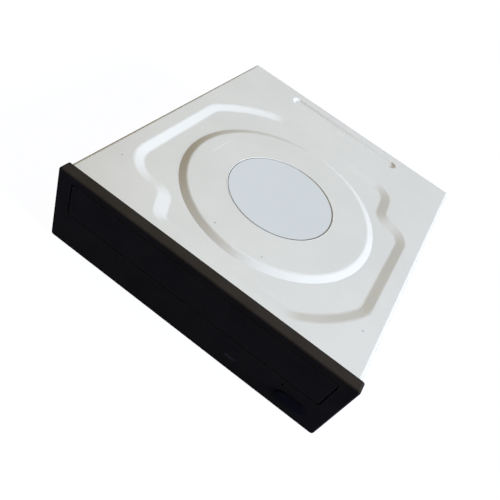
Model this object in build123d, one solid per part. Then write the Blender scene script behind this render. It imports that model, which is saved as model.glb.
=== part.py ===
from build123d import *
import math
import os

# Half-height optical disc drive. Millimetres.
# X to the right seen from the front, Y from the bezel's back face to the rear, Z up from the bezel's foot.
# Everything is written in that frame and moved along Y once, at the end, to centre the drive's box.

# Case and bezel
case_width = 146.0
case_height = 41.3
case_depth = 164.5
sheet = 0.8
case_corner = 2.0
case_edge = 1.0
bezel_overhang = 1.3
bezel_rise = 0.35
bezel_depth = 5.3
bezel_wall = 2.0
bezel_land = 0.95
bezel_corner = 1.6
bezel_edge = 0.9
bezel_width = case_width + 2 * bezel_overhang
bezel_height = case_height + 2 * bezel_rise
case_foot = bezel_rise
case_top = case_foot + case_height
case_half = case_width / 2
case_inner = case_half - sheet
rear_inner = case_depth - sheet

# Pressed pattern of the cover, round the spindle
spindle_y = 64.4
field_depth = 1.15
field_slope = 4.6
field_half = 64.0
field_front = 3.7
field_rear = 127.0
field_arc = 71.2
front_step_x = -33.3
left_step_x = -40.5
left_step_y = 18.5
right_step_x = 44.5
right_step_y = 102.5
notch_lean = 3.0
notch_fall = 4.0
inner_bend = 5.5
narrow_bend = 8.0
outer_bend = 12.5
wide_bend = 18.0
soft_bend = 14.0
plateau_radius = 47.4
plateau_slope = 3.7
press_blend = 4.0
bead_blend = 1.5
label_radius = 27.5
label_gap = 0.45
label_recess = 0.25
label_thickness = 0.15
bead_length = 76.0
bead_width = 8.0
bead_floor = 4.0
bead_depth = 0.9
bead_inset = 11.1
bead_x = -0.6

# Standard bay fixing holes
side_hole_front = 47.5
side_hole_pitch_y = 79.25
side_hole_low = 10.0
side_hole_pitch_z = 11.84
bottom_hole_spread = 139.7
tapped_radius = 1.25
collar_radius = 2.1
collar_height = 0.9

# Bezel openings
door_gap = 0.5
door_opening_width = 134.0
door_opening_low = 19.4
door_opening_height = 18.5
door_opening_corner = 1.5
button_x = 58.0
button_z = 9.45
button_length = 15.2
button_height = 6.9
button_proud = 0.6
button_gap = 0.3
button_travel = 0.9
lamp_x = 26.6
lamp_z = 8.5
lamp_width = 5.9
lamp_height = 1.6
pin_hole_x = 50.6
pin_hole_z = 16.0
pin_hole_radius = 0.6
clip_width = 8.0
clip_thickness = 1.6
clip_reach = 9.0
clip_hook = 1.0
clip_hook_length = 2.0
clip_lead = 0.6
side_clip_heights = (12.0, 31.0)
bottom_clip_x = 42.0
collar_wall = 1.0
door_edge = 0.35
door_hook_places = (-48.0, 0.0, 48.0)
door_hook_half = 4.0
door_hook_low = 1.2
door_hook_top = 2.6
door_hook_wall = 1.1
door_hook_drop = 1.0
button_edge = 0.6
button_lip = 0.9
button_flange = 0.9
button_stem_half = 2.0
button_stem_rise = 1.2
switch_z = 7.6
switch_face = 2.0
switch_nose = 0.8
switch_length = 4.2
switch_half = 3.0
guide_sink = 0.15
guide_lip = 0.8
guide_lip_depth = 1.0
guide_stem_half = 1.5
guide_stem_rise = 1.0
lamp_front = 3.0
lamp_half = 1.5
lamp_length = 2.2

# Bottom plate
flange_top = 5.0
dish_depth = 1.5
dish_radius = 5.0
dish_floor = 3.6
floor_rib_places = (70.0, 90.0)
floor_rib_length = 98.0
floor_rib_width = 6.0
floor_rib_crest = 2.0
floor_rib_rise = 0.5

# General clearances
running_gap = 0.3
shaft_gap = 0.05
fit_gap = 0.2
snug_gap = 0.1
past = 1.0
overlap = 0.5

# Disc tray
tray_width = 129.5
tray_low = 20.0
tray_top = 29.0
tray_wall = 1.8
tray_rear_inset = 11.5
disc_recess_radius = 60.5
disc_recess_depth = 2.0
small_recess_radius = 41.0
small_recess_depth = 1.6
tray_slot_width = 40.0
tray_slot_reach = 18.0
tray_corner = 3.0
scoop_radius = 11.0
scoop_x = 42.5
scoop_reach = 43.5
door_thickness = 2.4
door_back_height = 36.0
door_back_width = 124.0
back_window_side = 9.0
back_window_rise = 3.4
back_window_rim = 2.4

# Loading drive
drive_gear_x = -46.0
drive_gear_y = 13.8
pressure_angle = 25.0
rack_module = 1.0
rack_teeth_on_gear = 18
dedendum = 1.25
rack_gear_height = 2.6
train_module = 0.6
train_height = 2.0
train_hub = 0.9
pulley_height = 3.0
pulley_clear = 0.8
pulley_flange = 1.0
train_wheel_teeth = 36
train_pinion_teeth = 12
tooth_backlash = 0.12
centre_slack = 0.06
belt_ratio = 4.0
belt_wheel_radius = 10.0
belt_section = 1.2
belt_gap = 0.12
pulley_spacing = 24.0
gear_pin_radius = 1.5
gear_pin_crest = 0.35
motor_radius = 12.0
motor_height = 8.6
motor_edge = 1.0
motor_shaft_radius = 1.0
motor_nose = 2.8
motor_nose_height = 0.8
terminal_half = 4.0
terminal_reach = 0.8
terminal_low = 1.0
terminal_top = 3.0

# Frame moulding
frame_wall = 2.2
frame_gap = 0.35
runner_depth = 4.6
runner_thickness = 2.0
floor_low = 11.0
floor_thickness = 1.8
frame_front = 2.0
frame_rear_inset = 6.5
foot_flange = 1.6
boss_radius = 3.5
boss_inset = 2.6
front_boss_y = 20.5
rear_boss_inset = 8.0
board_boss_radius = 2.6
guard_thickness = 2.0
guard_height = 2.0
guard_depth = 2.6
guard_length = 9.0
front_guards = (9.0, 42.0, 95.0)
rear_guard_inset = 23.0
middle_ribs = (36.0, 90.0, 112.0)
rib_half = 0.8
bearing_half = 4.0
bearing_mouth = 0.85
keeper_thickness = 1.2
keeper_lip = 0.9
hook_places = (-50.5, -8.0, 50.5)
hook_half = 4.0
rear_wall_low = 11.5
rear_wall_top = 24.0
floor_windows = ((8.0, 18.0), (27.0, 41.0))
window_front = 3.5
window_rear = 2.5

# Cam slider and lift frame
slider_y = 28.1
slider_thickness = 2.0
slider_left = -46.0
slider_length = 80.0
slider_low = 2.7
slider_top = 18.2
slider_travel = 14.0
lift_angle = 4.5
lift_pin_x = 22.0
lift_pin_radius = 1.25
cam_flat = 4.0
slider_corner = 1.5
slider_window_x = 1.5
slider_window_length = 10.0
slider_window_height = 7.0
slider_window_rise = 6.0
hinge_z = 15.0
hinge_radius = 2.0
hinge_pin_reach = 6.3
lift_half = 54.0
lift_bar = 6.5
lift_low = 12.0
lift_top = 17.8
lift_front = 35.5
lift_rear_reach = 3.4
lift_corner = 5.0
lift_inner_corner = 2.5
lift_gap = 2.5

# Optical mechanism
plate_thickness = 1.2
plate_front = 43.0
plate_low = 15.2
plate_side_gap = 1.5
plate_rear_gap = 0.9
plate_corner = 4.0
bush_inset = 3.5
bush_rear_inset = 4.5
bush_radius = 4.0
bush_hole = 1.6
bush_groove = 1.0
lug_margin = 1.0
lug_thickness = 2.0
rod_radius = 1.5
rod_x = 23.5
rod_z = 19.0
rod_front = 48.0
rod_rear_inset = 1.0
saddle_outer = 2.9
saddle_inner = 2.4
saddle_length = 4.0
saddle_end = 0.8
saddle_rise = 1.2
saddle_mouth = 0.8
lens_inner_radius = 23.0
sled_front_reach = 9.0
sled_rear_reach = 16.0
sled_top = 23.2
sled_low = 14.0
sled_half = 26.4
sled_corner = 2.5
sled_shoulder = 9.0
sled_bay = 0.5
rod_cover = 1.0
lens_top = 26.8
lens_play = 0.6
lens_well = 18.2
well_half = 10.0
well_front = 4.5
well_rear = 9.0
yoke_half = 6.0
yoke_front = 6.4
yoke_rear = 8.0
yoke_rise = 1.6
carriage_half = 5.5
carriage_front = 4.0
carriage_rear = 5.6
carriage_drop = 2.2
carriage_corner = 1.0
lens_collar_radius = 3.4
lens_collar_drop = 1.0
lens_radius = 3.0
lens_crest_radius = 1.2
lens_crest = 0.9
rotor_radius = 13.0
rotor_low = 17.6
rotor_height = 3.6
rotor_wall = 1.0
rotor_roof = 1.2
table_neck = 6.0
table_thickness = 2.6
turntable_radius = 14.6
turntable_top = 28.5
hub_radius = 7.4
hub_height = 2.1
hub_straight = 0.9
hub_taper = 2.2
screw_x = 34.0
screw_radius = 1.5
feed_motor_radius = 6.0
feed_motor_front = 51.5
feed_motor_length = 13.0
feed_motor_edge = 0.6
feed_flange_reach = 2.2
feed_flange_rise = 4.5
feed_flange = 1.0
feed_z = 17.1
feed_bearing = 2.5
feed_bearing_rise = 1.0
feed_bearing_depth = 2.0
opening_left = -27.0
opening_right = 37.5
opening_front = 77.5
opening_rear_inset = 6.5
core_poles = 9
pole_half = 0.9
pole_tip_half = 2.6
pole_tip = 1.3
pole_low = 1.2
pole_drop = 1.0
core_drop = 0.6
stator_radius = 11.5
stator_gap = 0.3
sleeve_radius = 3.0
sleeve_foot = 1.6
shaft_foot = 0.9
spindle_shaft = 1.0
motor_base_radius = 16.0
motor_base = 1.0
motor_tail = 4.0
motor_tail_half = 8.0
pad_width = 3.4
pad_height = 0.6
nut_length = 10.0
nut_half = 3.0
nut_front = 3.0
nut_rise = 0.4
nut_top = 1.4
nut_arm_drop = 1.5

# Clamp
bridge_thickness = 1.0
bridge_low = 32.0
bridge_width = 24.0
bridge_eye = 13.0
bridge_round = 22.0
bridge_screw_x = 68.2
bridge_corner = 2.0
bridge_end_gap = 0.5
bridge_taper = 14.0
bridge_fold = 2.5
bridge_fold_end = 2.0
pillar_half = 8.0
clamp_radius = 16.5
clamp_neck = 12.4
clamp_flange = 15.5
clamp_flange_height = 1.0
clamp_boss = 7.4
clamp_boss_height = 0.8
clamp_boss_slope = 0.6
clamp_hub_room = 1.8
clamp_hub_rise = 0.6

# Boards and fasteners
board_thickness = 1.2
main_board_half = 58.0
main_board_length = 64.0
main_board_inset = 3.5
main_board_low = 2.9
ear_half = 3.5
ear_reach = 3.0
ear_x = 61.0
ear_inset = 3.5
front_board_left = 15.0
front_board_right = 62.0
front_board_front = 2.5
front_board_rear = 16.0
front_board_low = 4.0
connector_x = -38.0
connector_width = 40.0
connector_height = 6.6
connector_length = 11.7
connector_sink = 0.3
connector_wall = 1.2
connector_bridge = 1.4
connector_data = 13.0
connector_depth = 7.0
connector_roof = 1.1
blade_side = 1.2
blade_half = 0.6
screw_shank = 1.25
screw_head = 2.6
screw_head_height = 1.4
screw_bite = 7.0
cross_reach = 0.7
cross_width = 0.6
cross_depth = 0.6
thread_gap = 0.03
capacitor_columns = (28.0, 35.0, -6.0)
capacitor_inset = 14.0
capacitor_radius = 2.5
capacitor_height = 5.2
capacitor_edge = 0.5
socket_columns = (-16.0, 20.0)
socket_widths = (24.0, 18.0)
socket_front = 1.0
socket_length = 4.5
socket_height = 2.0
socket_side = 1.5
socket_mouth_low = 0.9
socket_mouth_top = 1.4
socket_mouth_depth = 4.0
controller_x = 14.0
controller_reach = 27.0
controller_side = 14.0
controller_height = 1.4
driver_x = -22.0
driver_reach = 19.0
driver_width = 9.0
driver_length = 14.0
driver_height = 1.2
memory_x = 34.0
memory_reach = 21.0
memory_width = 8.0
memory_length = 12.0
memory_height = 1.1
chip_edge = 0.2
chip_mark = 1.8
chip_mark_radius = 0.6
rear_board_screws = (4.0, 52.0)
rear_screw_inset = 4.0
front_board_screws = (22.0, 46.0)
front_board_screw_y = 12.0

# Places that follow from the values above
top_row = case_foot + side_hole_low + side_hole_pitch_z
low_row = case_foot + side_hole_low
plate_top = case_foot + sheet
door_opening_half = door_opening_width / 2
door_half = door_opening_half - door_gap
door_low = door_opening_low + door_gap
door_top = door_opening_low + door_opening_height - door_gap
door_back = -bezel_depth + door_thickness
tray_half = tray_width / 2
disc_floor = tray_top - disc_recess_depth
small_floor = disc_floor - small_recess_depth
frame_inner = tray_half + frame_gap
frame_outer = frame_inner + frame_wall
frame_flange = case_inner - sheet - fit_gap - running_gap
frame_rear = case_depth - frame_rear_inset
frame_top = tray_top + running_gap + guard_height
tray_rear = case_depth - tray_rear_inset
rear_boss_y = frame_rear - rear_boss_inset
bead_y = case_depth - bead_inset
floor_top = floor_low + floor_thickness
boss_x = frame_inner - boss_inset
rack_gear_radius = rack_module * rack_teeth_on_gear / 2
train_wheel_radius = train_module * train_wheel_teeth / 2
train_pinion_radius = train_module * train_pinion_teeth / 2
pulley_gear_x = drive_gear_x + train_wheel_radius + train_pinion_radius + centre_slack
motor_x = pulley_gear_x + pulley_spacing
motor_groove = belt_wheel_radius / belt_ratio
gear_foot = floor_top + running_gap
train_low = gear_foot + pulley_height + pulley_clear
rack_gear_low = tray_low + running_gap
slider_back = slider_y + slider_thickness
track_front = slider_y - running_gap - guard_thickness
track_back = slider_back + running_gap
hinge_y = rear_boss_y
bearing_left = lift_half + lift_gap
lift_rear = hinge_y + lift_rear_reach
plate_half = lift_half - lift_bar - plate_side_gap
plate_rear = lift_rear - lift_bar - plate_rear_gap
bush_x = plate_half - bush_inset
bush_front_y = plate_front + bush_inset
bush_rear_y = plate_rear - bush_rear_inset
rod_rear = plate_rear - rod_rear_inset
opening_rear = plate_rear - opening_rear_inset
cam_drop = (hinge_y - slider_y - slider_thickness / 2) * math.sin(math.radians(lift_angle))
plate_top_face = plate_low + plate_thickness
lens_y = spindle_y + lens_inner_radius
sled_front = lens_y - sled_front_reach
sled_rear = lens_y + sled_rear_reach
bridge_top = bridge_low + bridge_thickness
main_board_rear = case_depth - main_board_inset
main_board_front = main_board_rear - main_board_length
main_board_top = main_board_low + board_thickness
ear_y = main_board_front + ear_inset
rear_board_screw_y = main_board_rear - rear_screw_inset
front_board_top = front_board_low + board_thickness
flange_front = -bezel_depth + bezel_wall + running_gap


def block(x0, x1, y0, y1, z0, z1):
    """A box given by its six faces."""
    return Pos((x0 + x1) / 2, (y0 + y1) / 2, (z0 + z1) / 2) * Box(x1 - x0, y1 - y0, z1 - z0)


def post(x, y, z0, z1, radius):
    """An upright cylinder between two heights."""
    return Pos(x, y, (z0 + z1) / 2) * Cylinder(radius, z1 - z0)


def bar_y(x, z, y0, y1, radius):
    """A cylinder along Y."""
    return Pos(x, (y0 + y1) / 2, z) * Rot(90, 0, 0) * Cylinder(radius, y1 - y0)


def bar_x(y, z, x0, x1, radius):
    """A cylinder along X."""
    return Pos((x0 + x1) / 2, y, z) * Rot(0, 90, 0) * Cylinder(radius, x1 - x0)


def slab(outline, x, y, z0, z1):
    """A flat outline set at a height and made z1 - z0 thick."""
    return Pos(x, y, z0) * extrude(outline, z1 - z0)


def tongue(outline, x, z, y0, y1):
    """An outline drawn in the front plane, made from y0 back to y1."""
    return Pos(x, y0, z) * Rot(90, 0, 0) * extrude(outline, -(y1 - y0))


def both_sides(shape):
    """A shape and its mirror image across the drive's middle plane."""
    return shape + mirror(shape, Plane.YZ)


def tapered(outline_low, outline_top, x, y, z0, z1):
    """A pocket whose floor and mouth have different outlines."""
    return loft([Pos(x, y, z0) * outline_low, Pos(x, y, z1) * outline_top], ruled=True)


def gear_outline(module, teeth, phase):
    """Involute spur gear. The first tooth points along the phase angle, in degrees."""
    pitch = module * teeth / 2
    base = pitch * math.cos(math.radians(pressure_angle))
    root = pitch - dedendum * module
    tip = pitch + module
    start = max(base, root)

    def involute(radius):
        spread = math.acos(min(1.0, base / radius))
        return math.tan(spread) - spread

    half_pitch = math.pi / (2 * teeth) - tooth_backlash / (2 * pitch) + involute(pitch)

    def at(radius, angle):
        return Vector(radius * math.cos(angle), radius * math.sin(angle), 0)

    edges = []
    step = 2 * math.pi / teeth
    middle = (start + tip) / 2
    for index in range(teeth):
        centre = math.radians(phase) + index * step
        foot = half_pitch - involute(start)
        waist = half_pitch - involute(middle)
        crest = half_pitch - involute(tip)
        if start > root:
            edges.append(Edge.make_line(at(root, centre - foot), at(start, centre - foot)))
        edges.append(Edge.make_three_point_arc(
            at(start, centre - foot), at(middle, centre - waist), at(tip, centre - crest)))
        edges.append(Edge.make_three_point_arc(
            at(tip, centre - crest), at(tip, centre), at(tip, centre + crest)))
        edges.append(Edge.make_three_point_arc(
            at(tip, centre + crest), at(middle, centre + waist), at(start, centre + foot)))
        if start > root:
            edges.append(Edge.make_line(at(start, centre + foot), at(root, centre + foot)))
        edges.append(Edge.make_three_point_arc(
            at(root, centre + foot), at(root, centre + step / 2), at(root, centre + step - foot)))
    return Face(Wire(edges))


def rack_outline(pitch_x, back_x, y_from, y_to, tooth_y):
    """Straight rack with its teeth towards +X and one tooth centred on tooth_y."""
    pitch = math.pi * rack_module
    lean = math.tan(math.radians(pressure_angle))
    half = pitch / 4 - tooth_backlash / 2
    root_x = pitch_x - dedendum * rack_module
    tip_x = pitch_x + rack_module
    half_root = half + dedendum * rack_module * lean
    half_tip = half - rack_module * lean
    points = [(back_x, y_from), (root_x, y_from)]
    first = math.ceil((y_from + half_root - tooth_y) / pitch)
    last = math.floor((y_to - half_root - tooth_y) / pitch)
    for index in range(first, last + 1):
        centre = tooth_y + index * pitch
        points += [(root_x, centre - half_root), (tip_x, centre - half_tip)]
        points += [(tip_x, centre + half_tip), (root_x, centre + half_root)]
    points += [(root_x, y_to), (back_x, y_to)]
    return make_face(Polyline(*points, close=True))


def field_outline(inset):
    """Outline of the pressed field with its bends, inset evenly from the mouth."""
    left = -field_half + inset
    right = field_half - inset
    front = field_front + inset
    rear = field_rear - inset
    step_low = left_step_y + inset
    notch_x = right_step_x - inset
    notch_y = right_step_y - inset
    far = field_half * 2
    disc = Pos(0, spindle_y) * Circle(field_arc - inset)
    middle = Pos((left + right) / 2, (front + rear) / 2) * Rectangle(right - left, rear - front)
    rear_quarter = Pos(right / 2, (spindle_y + rear) / 2) * Rectangle(right, rear - spindle_y)
    front_quarter = Pos(left / 2, (spindle_y + front) / 2) * Rectangle(-left, spindle_y - front)
    front_cut = make_face(Polyline(
        (-far, -far), (front_step_x + inset, -far), (front_step_x + inset, front),
        (left_step_x + inset, step_low), (-far, step_low), close=True))
    rear_cut = make_face(Polyline(
        (far, far), (notch_x, far), (notch_x, rear), (notch_x + notch_lean, notch_y),
        (right, notch_y - notch_fall), (far, notch_y - notch_fall), close=True))
    outline = (disc & middle) + rear_quarter + front_quarter - front_cut - rear_cut
    bends = [
        (left_step_x + inset, step_low, inner_bend + inset),
        (notch_x + notch_lean, notch_y, inner_bend + inset),
        (left, step_low, wide_bend - inset),
        (front_step_x + inset, front, narrow_bend - inset),
        (right, notch_y - notch_fall, outer_bend - inset),
        (notch_x, rear, outer_bend - inset),
    ]
    for side, end in ((1, -1), (-1, 1)):
        reach_y = (rear if end > 0 else front) - spindle_y
        reach_x = right * side
        arc_x = side * math.sqrt((field_arc - inset) ** 2 - reach_y ** 2)
        arc_y = spindle_y + end * math.sqrt((field_arc - inset) ** 2 - reach_x ** 2)
        bends.append((arc_x, spindle_y + reach_y, soft_bend - inset))
        bends.append((reach_x, arc_y, soft_bend - inset))
    for x, y, radius in bends:
        corner = outline.vertices().sort_by_distance((x, y, 0))[0]
        outline = fillet(corner, radius)
    return outline


def cover_block(inset):
    """The cover as a solid block with its pressings; the sheet is one block less a smaller one."""
    half = case_half - inset
    top = case_top - inset
    front = -inset
    rear = case_depth - inset
    low = case_foot - inset
    outline = Pos(0, (front + rear) / 2) * RectangleRounded(
        2 * half, rear - front, case_corner - min(inset, case_corner / 2))
    body = slab(outline, 0, 0, low, top)
    body = body + block(-half, half, front, spindle_y, low, top)
    edges = body.edges().filter_by(Axis.Y).sort_by(Axis.Z)[-2:]
    body = fillet(edges, case_edge + sheet - inset)
    field = tapered(field_outline(field_slope), field_outline(0), 0, 0, top - field_depth, top)
    plateau = Pos(0, spindle_y, top - field_depth / 2) * Cone(
        plateau_radius + plateau_slope, plateau_radius, field_depth)
    pressed = body - (field - plateau)
    bead = tapered(
        SlotOverall(bead_length - bead_width + bead_floor, bead_floor),
        SlotOverall(bead_length, bead_width), bead_x, bead_y, top - bead_depth, top)
    pressed = blended(pressed - bead, top)
    return pressed - post(0, spindle_y, top - label_recess, top + past, label_radius + label_gap)


def blended(cover, top):
    """Rounds the pressed edges: the field and the plateau widely, the bead closely."""
    level = cover.edges().filter_by_position(Axis.Z, top - field_depth, top, (True, True))
    level = [edge for edge in level if edge.bounding_box().size.Z < shaft_gap]
    field = []
    bead = []
    for edge in level:
        box = edge.bounding_box()
        wide = max(abs(box.min.X), abs(box.max.X)) < field_half + shaft_gap
        if wide and field_front - shaft_gap < box.min.Y and box.max.Y < field_rear + shaft_gap:
            field.append(edge)
        if box.min.Y > bead_y - bead_width and box.max.Y < bead_y + bead_width / 2 + shaft_gap:
            bead.append(edge)
    cover = fillet(field, press_blend)
    places = [edge.center() for edge in bead]
    edges = [cover.edges().sort_by_distance(place)[0] for place in places]
    return fillet(edges, bead_blend)


def side_hole_places():
    """The four tapped holes in each side wall: two rows, two columns."""
    columns = (side_hole_front, side_hole_front + side_hole_pitch_y)
    return [(y, z) for y in columns for z in (low_row, top_row)]


def top_cover():
    """Pressed steel cover: top, both sides and back, open at the front and below."""
    cover = cover_block(0) - cover_block(sheet)
    cover = cover - block(-case_inner, case_inner, -past, 2 * sheet, 0, case_top - case_edge - sheet)
    for y, z in side_hole_places():
        collar = bar_x(y, z, case_inner - collar_height, case_inner, collar_radius)
        hole = bar_x(y, z, case_inner - 2 * collar_height, case_half + past, tapped_radius)
        cover = (cover + both_sides(collar)) - both_sides(hole)
    for height in side_clip_heights:
        window = block(case_inner - past, case_half + past, clip_reach - clip_hook_length - fit_gap,
                       clip_reach + fit_gap, height - clip_width / 2 - fit_gap,
                       height + clip_width / 2 + fit_gap)
        cover = cover - both_sides(window)
    port_half = connector_width / 2 + fit_gap
    port = block(connector_x - port_half, connector_x + port_half, rear_inner - past, case_depth + past,
                 main_board_top - fit_gap, main_board_top + connector_height + fit_gap)
    return cover - port


def bottom_hole_places():
    """The four tapped holes in the underside."""
    half = bottom_hole_spread / 2
    rows = (side_hole_front, side_hole_front + side_hole_pitch_y)
    return [(x, y) for x in (-half, half) for y in rows]


def case_screw_places():
    """Where the four screws come up through the bottom plate into the frame."""
    return [(x, y) for x in (-boss_x, boss_x) for y in (front_boss_y, rear_boss_y)]


def bottom_plate():
    """Steel floor with side flanges, dished screw places, tapped collars and shallow ribs."""
    half = case_inner - fit_gap
    front = fit_gap
    rear = rear_inner - fit_gap
    plate = slab(RectangleRounded(2 * half, rear - front, case_corner), 0, (front + rear) / 2,
                 case_foot, plate_top)
    plate = plate + both_sides(block(half - sheet, half, front + case_corner, rear - case_corner,
                                     case_foot, flange_top))
    for x, y in case_screw_places():
        plate = plate + Pos(x, y, plate_top + dish_depth / 2) * Cone(
            dish_radius + sheet, dish_floor + sheet, dish_depth)
        plate = plate - Pos(x, y, case_foot + dish_depth / 2) * Cone(dish_radius, dish_floor, dish_depth)
        plate = plate - post(x, y, case_foot, plate_top + dish_depth + past, screw_shank + fit_gap)
    for x, y in bottom_hole_places():
        plate = plate + post(x, y, plate_top, plate_top + collar_height, collar_radius)
        plate = plate - post(x, y, 0, plate_top + collar_height + past, tapped_radius)
    for x in (-bottom_clip_x, bottom_clip_x):
        plate = plate - block(x - clip_width / 2 - fit_gap, x + clip_width / 2 + fit_gap,
                              clip_reach - clip_hook_length - fit_gap, clip_reach + fit_gap,
                              0, plate_top + past)
    for y in floor_rib_places:
        rib = tapered(SlotOverall(floor_rib_length, floor_rib_width),
                      SlotOverall(floor_rib_length - floor_rib_width + floor_rib_crest, floor_rib_crest),
                      0, y, plate_top, plate_top + floor_rib_rise)
        plate = plate + rib - Pos(0, 0, -sheet) * rib
    return plate


def front_bezel():
    """Moulded front: face plate, rim, door opening with its collar, button well and clips."""
    outline = RectangleRounded(bezel_width, bezel_height, bezel_corner)
    shell = tongue(outline, 0, bezel_height / 2, -bezel_depth, 0)
    front_edges = shell.faces().sort_by(Axis.Y)[0].edges()
    shell = fillet(front_edges, bezel_edge)
    plate_back = -bezel_depth + bezel_wall
    hollow_low = plate_top + bezel_land
    hollow_top = case_top - sheet - bezel_land
    hollow = tongue(RectangleRounded(2 * case_inner, hollow_top - hollow_low, bezel_corner / 2),
                    0, (hollow_low + hollow_top) / 2, plate_back, past)
    shell = shell - hollow
    opening_z = door_opening_low + door_opening_height / 2
    collar = tongue(RectangleRounded(door_opening_width + 2 * collar_wall,
                                     door_opening_height + 2 * collar_wall,
                                     door_opening_corner + collar_wall),
                    0, opening_z, plate_back, -fit_gap)
    opening = tongue(RectangleRounded(door_opening_width, door_opening_height, door_opening_corner),
                     0, opening_z, -bezel_depth - past, past)
    shell = (shell + collar) - opening
    well = tongue(SlotOverall(button_length + 2 * button_gap, button_height + 2 * button_gap),
                  button_x, button_z, -bezel_depth - past, past)
    window = tongue(Rectangle(lamp_width, lamp_height), lamp_x, lamp_z, -bezel_depth - past, past)
    pin_hole = bar_y(pin_hole_x, pin_hole_z, -bezel_depth - past, past, pin_hole_radius)
    shell = shell - well - window - pin_hole
    for height in side_clip_heights:
        inner = case_inner - clip_thickness - fit_gap
        clip = block(inner, inner + clip_thickness, plate_back, clip_reach,
                     height - clip_width / 2, height + clip_width / 2)
        hook = block(inner, inner + clip_thickness + fit_gap + clip_hook - sheet / 2,
                     clip_reach - clip_hook_length, clip_reach, height - clip_width / 2,
                     height + clip_width / 2)
        lead = hook.edges().filter_by(Axis.Z).sort_by(Axis.X)[-2:].sort_by(Axis.Y)[-1]
        hook = chamfer(lead, clip_lead)
        shell = shell + both_sides(clip + hook)
    for x in (-bottom_clip_x, bottom_clip_x):
        low = plate_top + fit_gap
        clip = block(x - clip_width / 2, x + clip_width / 2, plate_back, clip_reach,
                     low, low + clip_thickness)
        hook = block(x - clip_width / 2, x + clip_width / 2, clip_reach - clip_hook_length, clip_reach,
                     case_foot + sheet / 2, low + clip_thickness)
        shell = shell + clip + hook
    return shell


def tray_door():
    """Flat door with softened edges and three hooks that grip the tray's front wall."""
    height = door_top - door_low
    outline = RectangleRounded(2 * door_half, height, door_opening_corner - door_gap / 2)
    door = tongue(outline, 0, (door_low + door_top) / 2, -bezel_depth, door_back)
    door = fillet(door.faces().sort_by(Axis.Y)[0].edges(), door_edge)
    lip_front = door_back + tray_wall + snug_gap
    lip_rear = lip_front + door_hook_wall
    for x in door_hook_places:
        hook = block(x - door_hook_half, x + door_hook_half, door_back - fit_gap, lip_rear,
                     tray_top + door_hook_low, tray_top + door_hook_top)
        lip = block(x - door_hook_half, x + door_hook_half, lip_front, lip_rear,
                    tray_top + door_hook_low - door_hook_drop, tray_top + door_hook_top)
        door = door + hook + lip
    return door


def disc_tray():
    """Moulded tray: two disc recesses, slot open to the rear, skirt, and the rack underneath."""
    front = door_back
    length = tray_rear - front
    middle = (tray_rear + front) / 2
    outline = RectangleRounded(tray_width, length, tray_corner)
    outer = slab(outline, 0, middle, tray_low, tray_top)
    inner_outline = RectangleRounded(tray_width - 2 * tray_wall, length - 2 * tray_wall, tray_corner / 2)
    hollow = slab(inner_outline, 0, middle, tray_low - past, tray_top - tray_wall)
    hollow = hollow + block(-tray_half + tray_wall, tray_half - tray_wall, middle, tray_rear + past,
                            tray_low - past, tray_top - tray_wall)
    outer_recess = disc_recess_radius + tray_wall
    hollow = hollow - post(0, spindle_y, disc_floor - tray_wall, tray_top, outer_recess)
    hollow = hollow - post(0, spindle_y, small_floor - tray_wall, tray_top, small_recess_radius + tray_wall)
    recess = post(0, spindle_y, disc_floor, tray_top + past, disc_recess_radius)
    recess = recess + post(0, spindle_y, small_floor, tray_top + past, small_recess_radius)
    scoop_y = spindle_y - scoop_reach
    for x in (-scoop_x, scoop_x):
        hollow = hollow - post(x, scoop_y, disc_floor - tray_wall, tray_top, scoop_radius + tray_wall)
        recess = recess + post(x, scoop_y, disc_floor, tray_top + past, scoop_radius)
    slot_half = tray_slot_width / 2
    slot_front = spindle_y - tray_slot_reach
    slot = block(-slot_half, slot_half, slot_front + slot_half / 2, tray_rear + past, 0, tray_top + past)
    slot = slot + slab(RectangleRounded(tray_slot_width, slot_half * 2, slot_half / 2),
                       0, slot_front + slot_half, 0, tray_top + past)
    tray = outer - hollow - recess
    wall = block(-slot_half - tray_wall, slot_half + tray_wall, slot_front + slot_half / 2, tray_rear,
                 small_floor - tray_wall, tray_top - tray_wall)
    tray = (tray + (wall & outer) - recess) - slot
    tray = tray + block(-door_back_width / 2, door_back_width / 2, front, front + tray_wall,
                        tray_low, door_back_height)
    window_half = door_back_width / 2 - back_window_side
    tray = tray - block(-window_half, window_half, front - past, front + tray_wall + past,
                        tray_top + back_window_rise, door_back_height - back_window_rim)
    for x in door_hook_places:
        tray = tray - block(x - door_hook_half - fit_gap, x + door_hook_half + fit_gap, front - past,
                            front + tray_wall + past, tray_top + door_hook_low - snug_gap,
                            tray_top + back_window_rise)
    pitch_x = drive_gear_x - rack_gear_radius - centre_slack
    back_x = pitch_x - dedendum * rack_module - tray_wall
    rack = rack_outline(pitch_x, back_x, front + tray_wall, tray_rear - tray_wall, drive_gear_y)
    rack = slab(rack, 0, 0, tray_low, disc_floor - tray_wall / 2)
    web = block(back_x, pitch_x - dedendum * rack_module, front + tray_wall, tray_rear - tray_wall,
                disc_floor - tray_wall, tray_top - tray_wall / 2)
    rack = rack - post(0, spindle_y, disc_floor - tray_wall / 2, tray_top, outer_recess)
    return tray + rack + (web - recess)


def eject_button():
    """Oblong button with a retaining flange and a stem that reaches the switch."""
    pill = tongue(SlotOverall(button_length, button_height), button_x, button_z,
                  -bezel_depth - button_proud, flange_front)
    pill = fillet(pill.faces().sort_by(Axis.Y)[0].edges(), button_edge)
    flange = tongue(SlotOverall(button_length + 2 * button_lip, button_height + 2 * button_lip),
                    button_x, button_z, flange_front, flange_front + button_flange)
    stem = block(button_x - button_stem_half, button_x + button_stem_half, flange_front,
                 switch_face - button_travel - fit_gap, switch_z - button_stem_rise,
                 switch_z + button_stem_rise)
    return pill + flange + stem


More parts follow.
